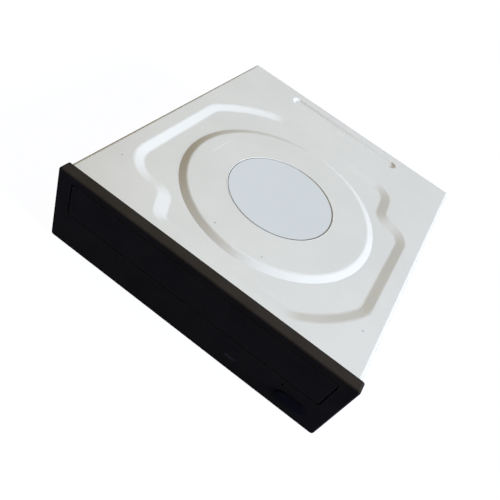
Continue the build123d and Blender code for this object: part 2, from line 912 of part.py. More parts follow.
def light_guide():
    """Clear guide from the lamp window back to the lamp."""
    plate_back = -bezel_depth + bezel_wall
    half = lamp_width / 2
    rise = lamp_height / 2
    head = block(lamp_x - half + shaft_gap, lamp_x + half - shaft_gap, -bezel_depth + guide_sink, plate_back,
                 lamp_z - rise + shaft_gap, lamp_z + rise - shaft_gap)
    stopper = block(lamp_x - half - guide_lip, lamp_x + half + guide_lip, plate_back,
                    plate_back + guide_lip_depth, lamp_z - rise - guide_lip, lamp_z + rise + guide_lip)
    stem = block(lamp_x - guide_stem_half, lamp_x + guide_stem_half, plate_back, lamp_front - fit_gap,
                 lamp_z - guide_stem_rise, lamp_z + guide_stem_rise)
    return head + stopper + stem


def tapped_post(x, y, z0, z1, radius):
    """A boss and the pilot hole that a screw cuts its thread in."""
    return post(x, y, z0, z1, radius), post(x, y, z0 - past, z0 + screw_bite + past, screw_shank + thread_gap)


def frame_side():
    """One side wall of the frame with its runner, ribs, pillar, guards, bosses and bearing."""
    runner_top = tray_low - running_gap
    runner_low = runner_top - runner_thickness
    wall = block(frame_inner, frame_outer, frame_front, frame_rear, plate_top, frame_top)
    wall = wall + block(frame_inner - runner_depth, frame_outer, frame_front, frame_rear,
                        runner_low, runner_top)
    wall = wall + block(frame_inner, frame_flange, frame_front, frame_rear,
                        plate_top, plate_top + foot_flange)
    for y in (front_boss_y, *middle_ribs, rear_boss_y):
        wall = wall + block(frame_inner, frame_flange, y - rib_half, y + rib_half, plate_top, frame_top)
    wall = wall + block(frame_inner, frame_flange, spindle_y - pillar_half, spindle_y + pillar_half,
                        plate_top, bridge_low)
    for y in (*front_guards, frame_rear - rear_guard_inset):
        wall = wall + block(frame_inner - guard_depth, frame_outer, y - guard_length / 2,
                            y + guard_length / 2, frame_top - guard_height, frame_top)
    wall = wall + block(bearing_left, frame_inner - runner_depth, hinge_y - bearing_half,
                        hinge_y + bearing_half, hinge_z - bearing_half, hinge_z + bearing_half)
    mouth = hinge_radius * bearing_mouth
    holes = bar_x(hinge_y, hinge_z, bearing_left - past, boss_x, hinge_radius + shaft_gap)
    holes = holes + block(bearing_left - past, frame_inner - runner_depth, hinge_y - mouth, hinge_y + mouth,
                          hinge_z, runner_low)
    for y in (front_boss_y, rear_boss_y):
        boss, hole = tapped_post(boss_x, y, plate_top + dish_depth, runner_low + overlap, boss_radius)
        wall = wall + boss
        holes = holes + hole
        holes = holes + post(boss_x, y, plate_top - past, plate_top + dish_depth,
                             dish_radius + sheet + running_gap)
    boss, hole = tapped_post(ear_x, ear_y, main_board_top, runner_low + overlap, board_boss_radius)
    bridge_hole = tapped_post(bridge_screw_x, spindle_y, bridge_low - screw_bite, bridge_low, boss_radius)[1]
    wall = wall + boss
    holes = holes + hole + bridge_hole
    for x, y in bottom_hole_places():
        holes = holes + post(abs(x), y, plate_top - past, plate_top + 2 * collar_height + overlap,
                             collar_radius + running_gap)
    return wall - holes


def slider_track():
    """Cross wall behind the gear floor: groove below, hooks above, for the cam slider."""
    front_face = slider_y - running_gap
    track = block(-frame_outer, frame_outer, track_front, front_face, plate_top, slider_top)
    track = track + block(-frame_outer, frame_outer, track_front, track_back + keeper_thickness,
                          plate_top, slider_low - running_gap)
    track = track + block(-frame_outer, frame_outer, track_back, track_back + keeper_thickness,
                          plate_top, slider_low + keeper_lip)
    for x in hook_places:
        track = track + block(x - hook_half, x + hook_half, track_front, slider_back,
                              slider_top + running_gap, tray_low - running_gap)
        track = track + block(x - hook_half, x + hook_half, track_front, front_face,
                              slider_top - overlap, tray_low - running_gap)
    return track


def main_frame():
    """Moulded frame: side walls with tray runners, gear floor, slider track and hinge bearings."""
    frame = both_sides(frame_side()) + slider_track()
    frame = frame + block(-frame_outer, frame_outer, frame_front, slider_y - running_gap,
                          floor_low, floor_top)
    frame = frame + block(-frame_outer, frame_outer, frame_rear - guard_thickness, frame_rear,
                          rear_wall_low, rear_wall_top)
    frame = frame + post(drive_gear_x, drive_gear_y, floor_low,
                         rack_gear_low + rack_gear_height + gear_pin_crest, gear_pin_radius)
    frame = frame + post(pulley_gear_x, drive_gear_y, floor_low, train_low + train_height + gear_pin_crest,
                         gear_pin_radius)
    frame = frame - post(motor_x, drive_gear_y, 0, floor_top + past, motor_nose + running_gap)
    for x in front_board_screws:
        boss, hole = tapped_post(x, front_board_screw_y, front_board_top, floor_low + overlap,
                                 board_boss_radius)
        frame = frame + boss - hole
    for x in rear_board_screws:
        boss, hole = tapped_post(x, rear_board_screw_y, main_board_top, rear_wall_low + overlap,
                                 board_boss_radius)
        frame = frame + boss - hole
    for x, y in case_screw_places():
        frame = frame - post(x, y, plate_top - past, plate_top + dish_depth,
                             dish_radius + sheet + running_gap)
    for x0, x1 in floor_windows:
        frame = frame - block(x0, x1, frame_front + window_front, track_front - window_rear,
                              floor_low - past, floor_top + past)
    return frame


def pulley(x, z0, groove, rim):
    """A flanged wheel with a square groove for the belt."""
    side = (pulley_height - belt_section - 2 * belt_gap) / 2
    profile = Polyline(
        (0, 0), (rim, 0), (rim, side), (groove, side), (groove, pulley_height - side),
        (rim, pulley_height - side), (rim, pulley_height), (0, pulley_height), close=True)
    return Pos(x, drive_gear_y, z0) * revolve(Plane.XZ * make_face(profile), Axis.Z)


def drive_gear():
    """Wheel driven by the pulley gear, with the pinion that drives the tray's rack."""
    gear = post(drive_gear_x, drive_gear_y, gear_foot, train_low, gear_pin_radius * 2)
    gear = gear + slab(gear_outline(train_module, train_wheel_teeth, 0), drive_gear_x, drive_gear_y,
                       train_low, train_low + train_height)
    gear = gear + post(drive_gear_x, drive_gear_y, train_low + train_height, rack_gear_low,
                       rack_gear_radius - dedendum * rack_module)
    gap_turn = 180 + 180 / rack_teeth_on_gear
    gear = gear + slab(gear_outline(rack_module, rack_teeth_on_gear, gap_turn), drive_gear_x, drive_gear_y,
                       rack_gear_low, rack_gear_low + rack_gear_height)
    return gear - post(drive_gear_x, drive_gear_y, 0, tray_top, gear_pin_radius + shaft_gap)


def pulley_gear():
    """Belt wheel with the small pinion on top."""
    gear = pulley(pulley_gear_x, gear_foot, belt_wheel_radius, belt_wheel_radius + pulley_flange)
    gear = gear + post(pulley_gear_x, drive_gear_y, gear_foot, train_low, train_pinion_radius - train_hub)
    gap_turn = 180 + 180 / train_pinion_teeth
    gear = gear + slab(gear_outline(train_module, train_pinion_teeth, gap_turn), pulley_gear_x, drive_gear_y,
                       train_low, train_low + train_height)
    return gear - post(pulley_gear_x, drive_gear_y, 0, tray_top, gear_pin_radius + shaft_gap)


def motor_pulley():
    """Small belt wheel pressed on the motor's shaft."""
    wheel = pulley(motor_x, gear_foot, motor_groove, motor_groove + pulley_flange)
    return wheel + post(motor_x, drive_gear_y, floor_low + motor_nose_height + running_gap, gear_foot,
                        motor_shaft_radius)


def drive_belt():
    """Square-section rubber belt round both pulleys."""
    def loop(extra):
        wide = Pos(pulley_gear_x, drive_gear_y) * Circle(belt_wheel_radius + extra)
        narrow = Pos(motor_x, drive_gear_y) * Circle(motor_groove + extra)
        return make_hull([*wide.edges(), *narrow.edges()])
    low = gear_foot + (pulley_height - belt_section) / 2
    return slab(loop(belt_gap + belt_section) - loop(belt_gap), 0, 0, low, low + belt_section)


def loading_motor():
    """Flat can motor hung under the frame's floor, shaft upwards."""
    can = post(motor_x, drive_gear_y, floor_low - motor_height, floor_low, motor_radius)
    can = fillet(can.edges().sort_by(Axis.Z)[0], motor_edge)
    nose = post(motor_x, drive_gear_y, floor_low, floor_low + motor_nose_height, motor_nose)
    tail = block(motor_x - terminal_half, motor_x + terminal_half,
                 drive_gear_y - motor_radius - terminal_reach, drive_gear_y,
                 floor_low - motor_height + terminal_low, floor_low - terminal_top)
    return can + nose + tail


def capsule(x0, z0, x1, z1, radius):
    """A straight slot outline between two points."""
    return make_hull([*(Pos(x0, z0) * Circle(radius)).edges(), *(Pos(x1, z1) * Circle(radius)).edges()])


def cam_slider():
    """Sliding bar whose two slanted slots carry the lift frame's pins."""
    bar = block(slider_left, slider_left + slider_length, slider_y, slider_back, slider_low, slider_top)
    radius = lift_pin_radius + fit_gap
    for pin_x in (-lift_pin_x, lift_pin_x):
        low_x = pin_x - slider_travel
        low_z = hinge_z - cam_drop
        slot = capsule(pin_x, hinge_z, low_x, low_z, radius)
        slot = slot + capsule(pin_x, hinge_z, pin_x + cam_flat, hinge_z, radius)
        slot = slot + capsule(low_x, low_z, low_x - cam_flat, low_z, radius)
        bar = bar - tongue(slot, 0, 0, slider_y - past, slider_back + past)
    corners = bar.edges().filter_by(Axis.Y).group_by(Axis.Z)
    bar = fillet(corners[-1] + corners[0], slider_corner)
    window = tongue(RectangleRounded(slider_window_length, slider_window_height, slider_corner),
                    slider_window_x, slider_low + slider_window_rise, slider_y - past, slider_back + past)
    return bar - window


def lift_frame():
    """Moulded ring, hinged at the rear, that raises and lowers the optical mechanism."""
    length = lift_rear - lift_front
    middle = (lift_rear + lift_front) / 2
    ring = slab(RectangleRounded(2 * lift_half, length, lift_corner), 0, middle, lift_low, lift_top)
    ring = ring - slab(RectangleRounded(2 * (lift_half - lift_bar), length - 2 * lift_bar, lift_inner_corner),
                       0, middle, 0, lift_top + past)
    inner_x = lift_half - lift_bar
    front_lug = (lift_front + lift_bar - overlap, bush_front_y + bush_radius + lug_margin)
    rear_lug = (bush_rear_y - bush_radius - lug_margin, lift_rear - lift_bar + overlap)
    for y0, y1 in (front_lug, rear_lug):
        lug = block(bush_x - bush_radius - lug_margin, inner_x + overlap, y0, y1,
                    lift_low, lift_low + lug_thickness)
        ring = ring + both_sides(lug)
    for x, y in bush_places():
        ring = ring - post(x, y, 0, lift_top, screw_shank + thread_gap)
    pin = bar_x(hinge_y, hinge_z, lift_half - overlap, lift_half + hinge_pin_reach, hinge_radius)
    cam_pin = bar_y(lift_pin_x, hinge_z, slider_y, lift_front + overlap, lift_pin_radius)
    return ring + both_sides(pin) + both_sides(cam_pin)


def bush_places():
    """The four corners where the mechanism plate is held in its bushes."""
    return [(x, y) for x in (-bush_x, bush_x) for y in (bush_front_y, bush_rear_y)]


def mechanism_plate():
    """Pressed plate that carries the spindle motor, the guide rods and the feed screw."""
    length = plate_rear - plate_front
    middle = (plate_rear + plate_front) / 2
    plate = slab(RectangleRounded(2 * plate_half, length, plate_corner), 0, middle, plate_low, plate_top_face)
    motor_bay = feed_motor_radius + running_gap
    cut = block(opening_left, opening_right, opening_front, opening_rear, 0, tray_top)
    cut = cut + block(screw_x - motor_bay, screw_x + motor_bay, feed_motor_front - running_gap,
                      opening_front + past, 0, tray_top)
    cut = cut + post(0, spindle_y, 0, tray_top, stator_radius + past)
    for x, y in bush_places():
        cut = cut + post(x, y, 0, tray_top, bush_radius - bush_groove)
    plate = plate - cut
    front_saddle = rod_front - saddle_end
    rear_saddle = rod_rear + saddle_end - saddle_length
    for y in (front_saddle, rear_saddle):
        saddle = block(rod_x - saddle_outer, rod_x + saddle_inner, y, y + saddle_length,
                       plate_top_face - snug_gap, rod_z + saddle_rise)
        plate = plate + both_sides(saddle)
    mouth = rod_radius * saddle_mouth
    plate = plate - both_sides(bar_y(rod_x, rod_z, rod_front, rod_rear, rod_radius + thread_gap))
    plate = plate - both_sides(block(rod_x - mouth, rod_x + mouth, rod_front, rod_rear, rod_z, tray_top))
    bearing = block(screw_x - nut_half, screw_x + nut_half, opening_rear, opening_rear + feed_bearing,
                    plate_low, feed_z + screw_radius + feed_bearing_rise)
    return plate + bearing - bar_y(screw_x, feed_z, opening_rear - past, opening_rear + feed_bearing_depth,
                                   screw_radius + shaft_gap)


def damping_bushes():
    """Four rubber bushes, grooved to grip the plate."""
    low = lift_low + lug_thickness
    high = plate_top_face + plate_low - low
    bushes = []
    for x, y in bush_places():
        bush = post(x, y, low, high, bush_radius)
        groove = post(x, y, plate_low, plate_top_face, bush_radius + past) - post(
            x, y, plate_low, plate_top_face, bush_radius - bush_groove - thread_gap)
        bushes.append(bush - groove - post(x, y, 0, tray_top, bush_hole + thread_gap))
    return Compound(bushes)


def shoulder_screws():
    """Four screws that hold the bushes to the lift frame."""
    top = plate_top_face + plate_low - lift_low - lug_thickness
    screws = []
    for x, y in bush_places():
        screw = post(x, y, lift_low, lift_low + lug_thickness, screw_shank)
        screw = screw + post(x, y, lift_low + lug_thickness, top, bush_hole)
        screws.append(screw + pan_head(x, y, top, 1))
    return Compound(screws)


def pan_head(x, y, z, up):
    """A low domed screw head with a cross recess, standing on z and pointing up or down."""
    head = post(x, y, 0, screw_head_height, screw_head)
    head = fillet(head.edges().sort_by(Axis.Z)[-1], screw_head_height / 2)
    blade = screw_head * cross_reach
    slot = Box(2 * blade, cross_width, 2 * cross_depth) + Box(cross_width, 2 * blade, 2 * cross_depth)
    cross = Pos(x, y, screw_head_height) * slot
    head = head - cross
    if up < 0:
        head = mirror(head, Plane.XY)
    return Pos(0, 0, z) * head


def spindle_motor():
    """Fixed half of the spindle motor: base plate, wound core and bearing sleeve."""
    low = plate_low - motor_base
    base = post(0, spindle_y, low, plate_low, motor_base_radius)
    base = base + block(-motor_tail_half, motor_tail_half, spindle_y - motor_base_radius - motor_tail,
                        spindle_y, low, plate_low)
    core_top = rotor_low + rotor_height - core_drop
    core = post(0, spindle_y, low - sleeve_foot, core_top, sleeve_radius)
    rim = stator_radius - stator_gap
    for index in range(core_poles):
        arm = block(sleeve_radius - overlap, rim - pole_tip + snug_gap, -pole_half, pole_half,
                    plate_low + pole_low, core_top - pole_drop)
        tip = block(rim - pole_tip, rim, -pole_tip_half, pole_tip_half, plate_low + pole_low,
                    core_top - pole_drop)
        core = core + Pos(0, spindle_y) * Rot(0, 0, index * 360 / core_poles) * (arm + tip)
    return base + core - post(0, spindle_y, low - shaft_foot - running_gap, tray_top,
                              spindle_shaft + shaft_gap)


def turntable():
    """Rotor cup, disc table and centring hub on one shaft."""
    low = plate_low - motor_base - shaft_foot
    roof = rotor_low + rotor_height
    inner = rotor_radius - rotor_wall
    roof_top = roof + rotor_roof
    rim_top = turntable_top - pad_height
    rim_low = rim_top - table_thickness
    crest = turntable_top + hub_height
    profile = Polyline(
        (0, low), (spindle_shaft, low), (spindle_shaft, roof), (inner, roof),
        (inner, rotor_low), (rotor_radius, rotor_low), (rotor_radius, roof_top), (table_neck, roof_top),
        (table_neck, rim_low), (turntable_radius, rim_low), (turntable_radius, rim_top),
        (hub_radius, rim_top), (hub_radius, turntable_top + hub_straight), (hub_radius - hub_taper, crest),
        (0, crest), close=True)
    return Pos(0, spindle_y) * revolve(Plane.XZ * make_face(profile), Axis.Z)


def friction_ring():
    """Soft ring that the disc stands on."""
    ring = post(0, spindle_y, turntable_top - pad_height, turntable_top, turntable_radius)
    return ring - post(0, spindle_y, 0, tray_top, turntable_radius - pad_width)


def guide_rods():
    """Two ground rods that the sled runs on."""
    rod = bar_y(rod_x, rod_z, rod_front, rod_rear, rod_radius)
    return Compound([rod, mirror(rod, Plane.YZ)])


def pickup_sled():
    """Die-cast sled: bearings for both rods, lens well with magnet yokes, and the feed nut."""
    length = sled_rear - sled_front
    middle = (sled_rear + sled_front) / 2
    body = slab(RectangleRounded(2 * sled_half, length, sled_corner), 0, middle, sled_low, sled_top)
    shoulder = block(sled_half - sled_shoulder, sled_half + past, sled_front - past, sled_rear + past,
                     rod_z + rod_radius + rod_cover, sled_top + past)
    body = body - both_sides(shoulder)
    body = body - post(0, spindle_y, 0, tray_top, motor_base_radius + sled_bay)
    well = block(-well_half, well_half, lens_y - well_front, lens_y + well_rear, lens_well, tray_top)
    body = body - well
    yoke = block(-yoke_half, yoke_half, lens_y + yoke_front, lens_y + yoke_rear, lens_well,
                 sled_top + yoke_rise)
    body = body + yoke
    nut_y = lens_y - nut_front
    nut = block(screw_x - nut_half, screw_x + nut_half, nut_y, nut_y + nut_length, sled_low + nut_rise,
                feed_z + screw_radius + nut_top)
    arm = block(sled_half - past, screw_x, nut_y, nut_y + nut_length, sled_low + nut_rise,
                feed_z - nut_arm_drop)
    body = body + nut + arm
    body = body - both_sides(bar_y(rod_x, rod_z, 0, tray_rear, rod_radius + shaft_gap))
    return body - bar_y(screw_x, feed_z, 0, tray_rear, screw_radius + shaft_gap)


def lens_holder():
    """Focus carriage with the objective lens."""
    low = lens_well + lens_play + fit_gap
    deck = lens_top - carriage_drop
    rim = lens_top - lens_collar_drop
    carriage = block(-carriage_half, carriage_half, lens_y - carriage_front, lens_y + carriage_rear,
                     low, deck)
    carriage = fillet(carriage.edges().filter_by(Axis.Z), carriage_corner)
    collar = post(0, lens_y, deck, rim, lens_collar_radius)
    dome = Pos(0, lens_y, rim + lens_crest / 2) * Cone(lens_radius, lens_crest_radius, lens_crest)
    return carriage + collar + dome


def feed_motor():
    """Stepping motor on its own flange."""
    rear = feed_motor_front + feed_motor_length
    can = bar_y(screw_x, feed_z, feed_motor_front, rear, feed_motor_radius)
    can = chamfer(can.edges().sort_by(Axis.Y)[0], feed_motor_edge)
    reach = feed_motor_radius + feed_flange_reach
    flange = block(screw_x - reach, screw_x + reach, rear - feed_flange, rear, plate_top_face,
                   feed_z + feed_flange_rise)
    return can + flange


def lead_screw():
    """Feed screw from the stepping motor to its end bearing."""
    front = feed_motor_front + feed_motor_length + fit_gap
    return bar_y(screw_x, feed_z, front, opening_rear + feed_bearing_depth - fit_gap, screw_radius)


def clamp_bridge():
    """Pressed strip across the frame that holds the clamp over the spindle."""
    half = frame_flange
    strip = Pos(0, spindle_y) * RectangleRounded(2 * half, 2 * (pillar_half - bridge_end_gap), bridge_corner)
    middle = Pos(0, spindle_y) * Circle(bridge_round)
    waist = Pos(0, spindle_y) * Rectangle(2 * (half - bridge_taper), bridge_width)
    outline = strip + middle + waist
    bridge = slab(outline, 0, 0, bridge_low, bridge_top)
    for side in (-1, 1):
        y = spindle_y + side * (bridge_width / 2 - bridge_thickness / 2)
        fold = block(bridge_round, half - bridge_taper - bridge_fold_end, y - bridge_thickness / 2,
                     y + bridge_thickness / 2, bridge_low, bridge_top + bridge_fold)
        bridge = bridge + both_sides(fold)
    bridge = bridge - post(0, spindle_y, 0, case_top, bridge_eye)
    hole = post(bridge_screw_x, spindle_y, 0, case_top, screw_shank + fit_gap)
    return bridge - both_sides(hole)


def clamp_disc():
    """Floating clamp: flange above the bridge, neck through it, rim over the turntable."""
    low = turntable_top + running_gap
    rim_top = bridge_low - running_gap
    neck_top = bridge_top + running_gap
    room = hub_radius + clamp_hub_room
    roof = turntable_top + hub_height + clamp_hub_rise
    flange_top_face = neck_top + clamp_flange_height
    crest = flange_top_face + clamp_boss_height
    profile = Polyline(
        (0, roof), (room, roof), (room, low), (clamp_radius, low), (clamp_radius, rim_top),
        (clamp_neck, rim_top), (clamp_neck, neck_top), (clamp_flange, neck_top),
        (clamp_flange, flange_top_face), (clamp_boss + clamp_boss_slope, flange_top_face),
        (clamp_boss, crest), (0, crest), close=True)
    return Pos(0, spindle_y) * revolve(Plane.XZ * make_face(profile), Axis.Z)


def main_board():
    """Rear circuit board under the mechanism, on two ears and two rear bosses."""
    board = block(-main_board_half, main_board_half, main_board_front, main_board_rear, main_board_low,
                  main_board_top)
    ear = block(main_board_half - past, ear_x + ear_reach, ear_y - ear_half, ear_y + ear_half,
                main_board_low, main_board_top)
    board = board + both_sides(ear)
    board = board - both_sides(post(ear_x, ear_y, 0, case_top, screw_shank + fit_gap))
    for x in rear_board_screws:
        board = board - post(x, rear_board_screw_y, 0, case_top, screw_shank + fit_gap)
    return board


def chip(x, reach, width, length, height):
    """A flat package on the main board, measured from its front edge, with a pin-one dimple."""
    y = main_board_front + reach
    top = main_board_top + height
    body = block(x - width / 2, x + width / 2, y - length / 2, y + length / 2, main_board_top, top)
    body = chamfer(body.faces().sort_by(Axis.Z)[-1].edges(), chip_edge)
    return body - post(x - width / 2 + chip_mark, y - length / 2 + chip_mark, top - chip_edge, top + past,
                       chip_mark_radius)


def capacitors():
    """Upright electrolytic cans beside the connector."""
    cans = []
    for x in capacitor_columns:
        can = post(x, main_board_rear - capacitor_inset, main_board_top, main_board_top + capacitor_height,
                   capacitor_radius)
        cans.append(fillet(can.edges().sort_by(Axis.Z)[-1], capacitor_edge))
    return Compound(cans)


def ribbon_sockets():
    """Two flat-cable sockets at the board's front edge."""
    sockets = []
    front = main_board_front + socket_front
    for x, width in zip(socket_columns, socket_widths):
        body = block(x - width / 2, x + width / 2, front, front + socket_length, main_board_top,
                     main_board_top + socket_height)
        mouth = block(x - width / 2 + socket_side, x + width / 2 - socket_side, main_board_front,
                      main_board_front + socket_mouth_depth, main_board_top + socket_mouth_low,
                      main_board_top + socket_mouth_top)
        sockets.append(body - mouth)
    return Compound(sockets)


def rear_connector():
    """Data and power connector, flush with the back of the case."""
    half = connector_width / 2
    top = main_board_top + connector_height
    rear = case_depth - connector_sink
    root = case_depth - connector_depth
    body = block(connector_x - half, connector_x + half, rear - connector_length, rear, main_board_top, top)
    middle = (main_board_top + top) / 2
    left = connector_x - half + connector_wall
    split = left + connector_data
    for x0, x1 in ((left, split), (split + connector_bridge, connector_x + half - connector_wall)):
        cavity = block(x0, x1, root, case_depth + past, main_board_top + connector_roof, top - connector_roof)
        blade = block(x0 + blade_side, x1 - blade_side, root, case_depth - connector_wall,
                      middle - blade_half, middle + blade_half)
        body = body - cavity + blade
    return body


def front_board():
    """Front circuit board with the eject switch and the lamp."""
    board = block(front_board_left, front_board_right, front_board_front, front_board_rear, front_board_low,
                  front_board_top)
    for x in front_board_screws:
        board = board - post(x, front_board_screw_y, 0, floor_low, screw_shank + fit_gap)
    return board


def eject_switch():
    """Side-pressed switch behind the button."""
    front = switch_face + switch_nose
    body = block(button_x - switch_half, button_x + switch_half, front, front + switch_length,
                 front_board_top, switch_z + button_stem_half)
    return body + bar_y(button_x, switch_z, switch_face, front + fit_gap, button_stem_rise)


def activity_lamp():
    """Lamp lying on the front board behind the light guide."""
    front = lamp_front + guide_lip
    base = block(lamp_x - lamp_half, lamp_x + lamp_half, front, front + lamp_length, front_board_top,
                 lamp_z + lamp_half)
    return base + bar_y(lamp_x, lamp_z, lamp_front, front + fit_gap, guide_stem_rise)


def case_screws():
    """Four screws up through the dished places into the frame's bosses."""
    low = case_foot + dish_depth
    return Compound([
        post(x, y, low, low + screw_bite, screw_shank) + pan_head(x, y, low, -1)
        for x, y in case_screw_places()])


def board_screws():
    """Screws up through both boards into the frame."""
    places = [(x, ear_y, main_board_low) for x in (-ear_x, ear_x)]
    places += [(x, rear_board_screw_y, main_board_low) for x in rear_board_screws]
    places += [(x, front_board_screw_y, front_board_low) for x in front_board_screws]
    return Compound([
        post(x, y, z, z + screw_bite, screw_shank) + pan_head(x, y, z, -1) for x, y, z in places])


def bridge_screws():
    """Two screws that hold the clamp bridge."""
    return Compound([
        post(x, spindle_y, bridge_low - screw_bite + bridge_thickness, bridge_top, screw_shank)
        + pan_head(x, spindle_y, bridge_top, 1)
        for x in (-bridge_screw_x, bridge_screw_x)])


def centre_label():
    """Thin disc lying in the coined recess of the cover."""
    low = case_top - label_recess
    return post(0, spindle_y, low, low + label_thickness, label_radius)


nodes = {
    "top_cover": top_cover(),
    "bottom_plate": bottom_plate(),
    "main_frame": main_frame(),
    "front_bezel": front_bezel(),
    "centre_label": centre_label(),
    "tray_door": tray_door(),
    "disc_tray": disc_tray(),
    "eject_button": eject_button(),
    "light_guide": light_guide(),
    "front_board": front_board(),
    "eject_switch": eject_switch(),
    "activity_lamp": activity_lamp(),
    "loading_motor": loading_motor(),
    "motor_pulley": motor_pulley(),
    "drive_belt": drive_belt(),
    "pulley_gear": pulley_gear(),
    "drive_gear": drive_gear(),
    "cam_slider": cam_slider(),
    "lift_frame": lift_frame(),
    "mechanism_plate": mechanism_plate(),
    "damping_bushes": damping_bushes(),
    "shoulder_screws": shoulder_screws(),
    "spindle_motor": spindle_motor(),
    "turntable": turntable(),
    "friction_ring": friction_ring(),
    "guide_rods": guide_rods(),
    "pickup_sled": pickup_sled(),
    "lens_holder": lens_holder(),
    "feed_motor": feed_motor(),
    "lead_screw": lead_screw(),
    "clamp_bridge": clamp_bridge(),
    "clamp_disc": clamp_disc(),
    "main_board": main_board(),
    "controller_chip": chip(controller_x, controller_reach, controller_side, controller_side,
                            controller_height),
    "driver_chip": chip(driver_x, driver_reach, driver_width, driver_length, driver_height),
    "memory_chip": chip(memory_x, memory_reach, memory_width, memory_length, memory_height),
    "capacitors": capacitors(),
    "ribbon_sockets": ribbon_sockets(),
    "rear_connector": rear_connector(),
    "case_screws": case_screws(),
    "board_screws": board_screws(),
    "bridge_screws": bridge_screws(),
}
centre_y = (case_depth - bezel_depth - button_proud) / 2
os.makedirs("parts", exist_ok=True)
for name, shape in nodes.items():
    export_step(Pos(0, -centre_y, 0) * shape, "parts/" + name + ".step")
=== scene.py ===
import math

import bpy
from bpy.props import FloatProperty, FloatVectorProperty, PointerProperty
from mathutils import Matrix, Vector


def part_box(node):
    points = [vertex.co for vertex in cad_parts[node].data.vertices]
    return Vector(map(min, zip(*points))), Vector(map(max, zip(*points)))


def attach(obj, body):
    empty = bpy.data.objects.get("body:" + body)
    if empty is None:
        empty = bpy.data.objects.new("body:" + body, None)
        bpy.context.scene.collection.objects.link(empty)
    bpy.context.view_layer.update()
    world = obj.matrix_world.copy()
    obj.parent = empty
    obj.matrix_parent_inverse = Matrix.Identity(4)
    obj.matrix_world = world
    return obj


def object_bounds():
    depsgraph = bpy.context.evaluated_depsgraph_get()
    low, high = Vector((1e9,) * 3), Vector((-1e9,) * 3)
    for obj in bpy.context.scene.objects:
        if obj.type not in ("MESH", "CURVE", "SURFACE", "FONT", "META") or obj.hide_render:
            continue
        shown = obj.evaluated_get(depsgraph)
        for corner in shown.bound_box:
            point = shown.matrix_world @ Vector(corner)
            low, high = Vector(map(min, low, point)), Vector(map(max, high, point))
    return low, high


bl_info = {
    "name": "Disc drive finisher",
    "version": (1, 0, 0),
    "blender": (4, 5, 0),
    "location": "View3D > Sidebar > Disc drive",
    "description": "Finishes and lights a half-height disc drive built around its packed frame",
    "category": "Object",
}

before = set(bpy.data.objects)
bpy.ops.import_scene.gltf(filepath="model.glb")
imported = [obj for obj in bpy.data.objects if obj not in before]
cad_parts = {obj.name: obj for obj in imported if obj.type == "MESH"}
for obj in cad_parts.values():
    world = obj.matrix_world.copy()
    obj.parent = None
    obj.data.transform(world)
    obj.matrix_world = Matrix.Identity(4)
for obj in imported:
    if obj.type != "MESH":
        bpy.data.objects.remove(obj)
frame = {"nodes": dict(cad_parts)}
CAD_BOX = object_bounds()
NODES = frame["nodes"]


def colour_property(name, description, default):
    """A colour setting, with the limits that all of them share."""
    return FloatVectorProperty(
        name=name, description=description, default=default, size=3, min=0, max=1, subtype="COLOR")


class CaseFinish(bpy.types.PropertyGroup):
    """Colours and gloss of what the outside shows"""

    steel: colour_property("Steel", "Zinc-plated sheet of the cover", (0.80, 0.812, 0.812))
    steel_roughness: FloatProperty(
        name="Steel roughness", description="How far the sheet spreads a reflection",
        default=0.24, min=0, max=1, subtype="FACTOR")
    label: colour_property("Label", "Blank film in the cover's recess", (0.605, 0.645, 0.675))
    bezel: colour_property("Bezel", "Grained moulding of the front", (0.0250, 0.0212, 0.0178))
    bezel_gloss: FloatProperty(
        name="Bezel gloss", description="Strength of the moulding's surface reflection",
        default=0.12, min=0, max=1, subtype="FACTOR")
    button: colour_property("Button", "Smooth moulding of the eject button", (0.004, 0.004, 0.0052))
    lamp: colour_property("Lamp window", "Milky light guide, unlit", (0.060, 0.060, 0.064))


class InsideFinish(bpy.types.PropertyGroup):
    """Colours of what shows with the tray out or the case open"""

    tray: colour_property("Tray", "Moulded disc tray", (0.012, 0.012, 0.014))
    frame: colour_property("Frame", "Moulded frame and lift ring", (0.014, 0.014, 0.015))
    gear: colour_property("Gears", "Natural acetal of gears and slider", (0.78, 0.77, 0.72))
    board: colour_property("Boards", "Solder mask of the circuit boards", (0.008, 0.055, 0.03))
    package: colour_property("Packages", "Moulded chip packages", (0.018, 0.018, 0.02))
    socket: colour_property("Sockets", "Flat-cable sockets", (0.75, 0.70, 0.56))
    sled: colour_property("Sled", "Die-cast pickup sled", (0.42, 0.43, 0.44))
    rubber: colour_property("Rubber", "Bushes, belt and friction ring", (0.012, 0.012, 0.012))
    copper: colour_property("Windings", "Lacquered motor core", (0.42, 0.16, 0.06))
    gold: colour_property("Contacts", "Gold-flashed contact blades", (0.85, 0.62, 0.28))


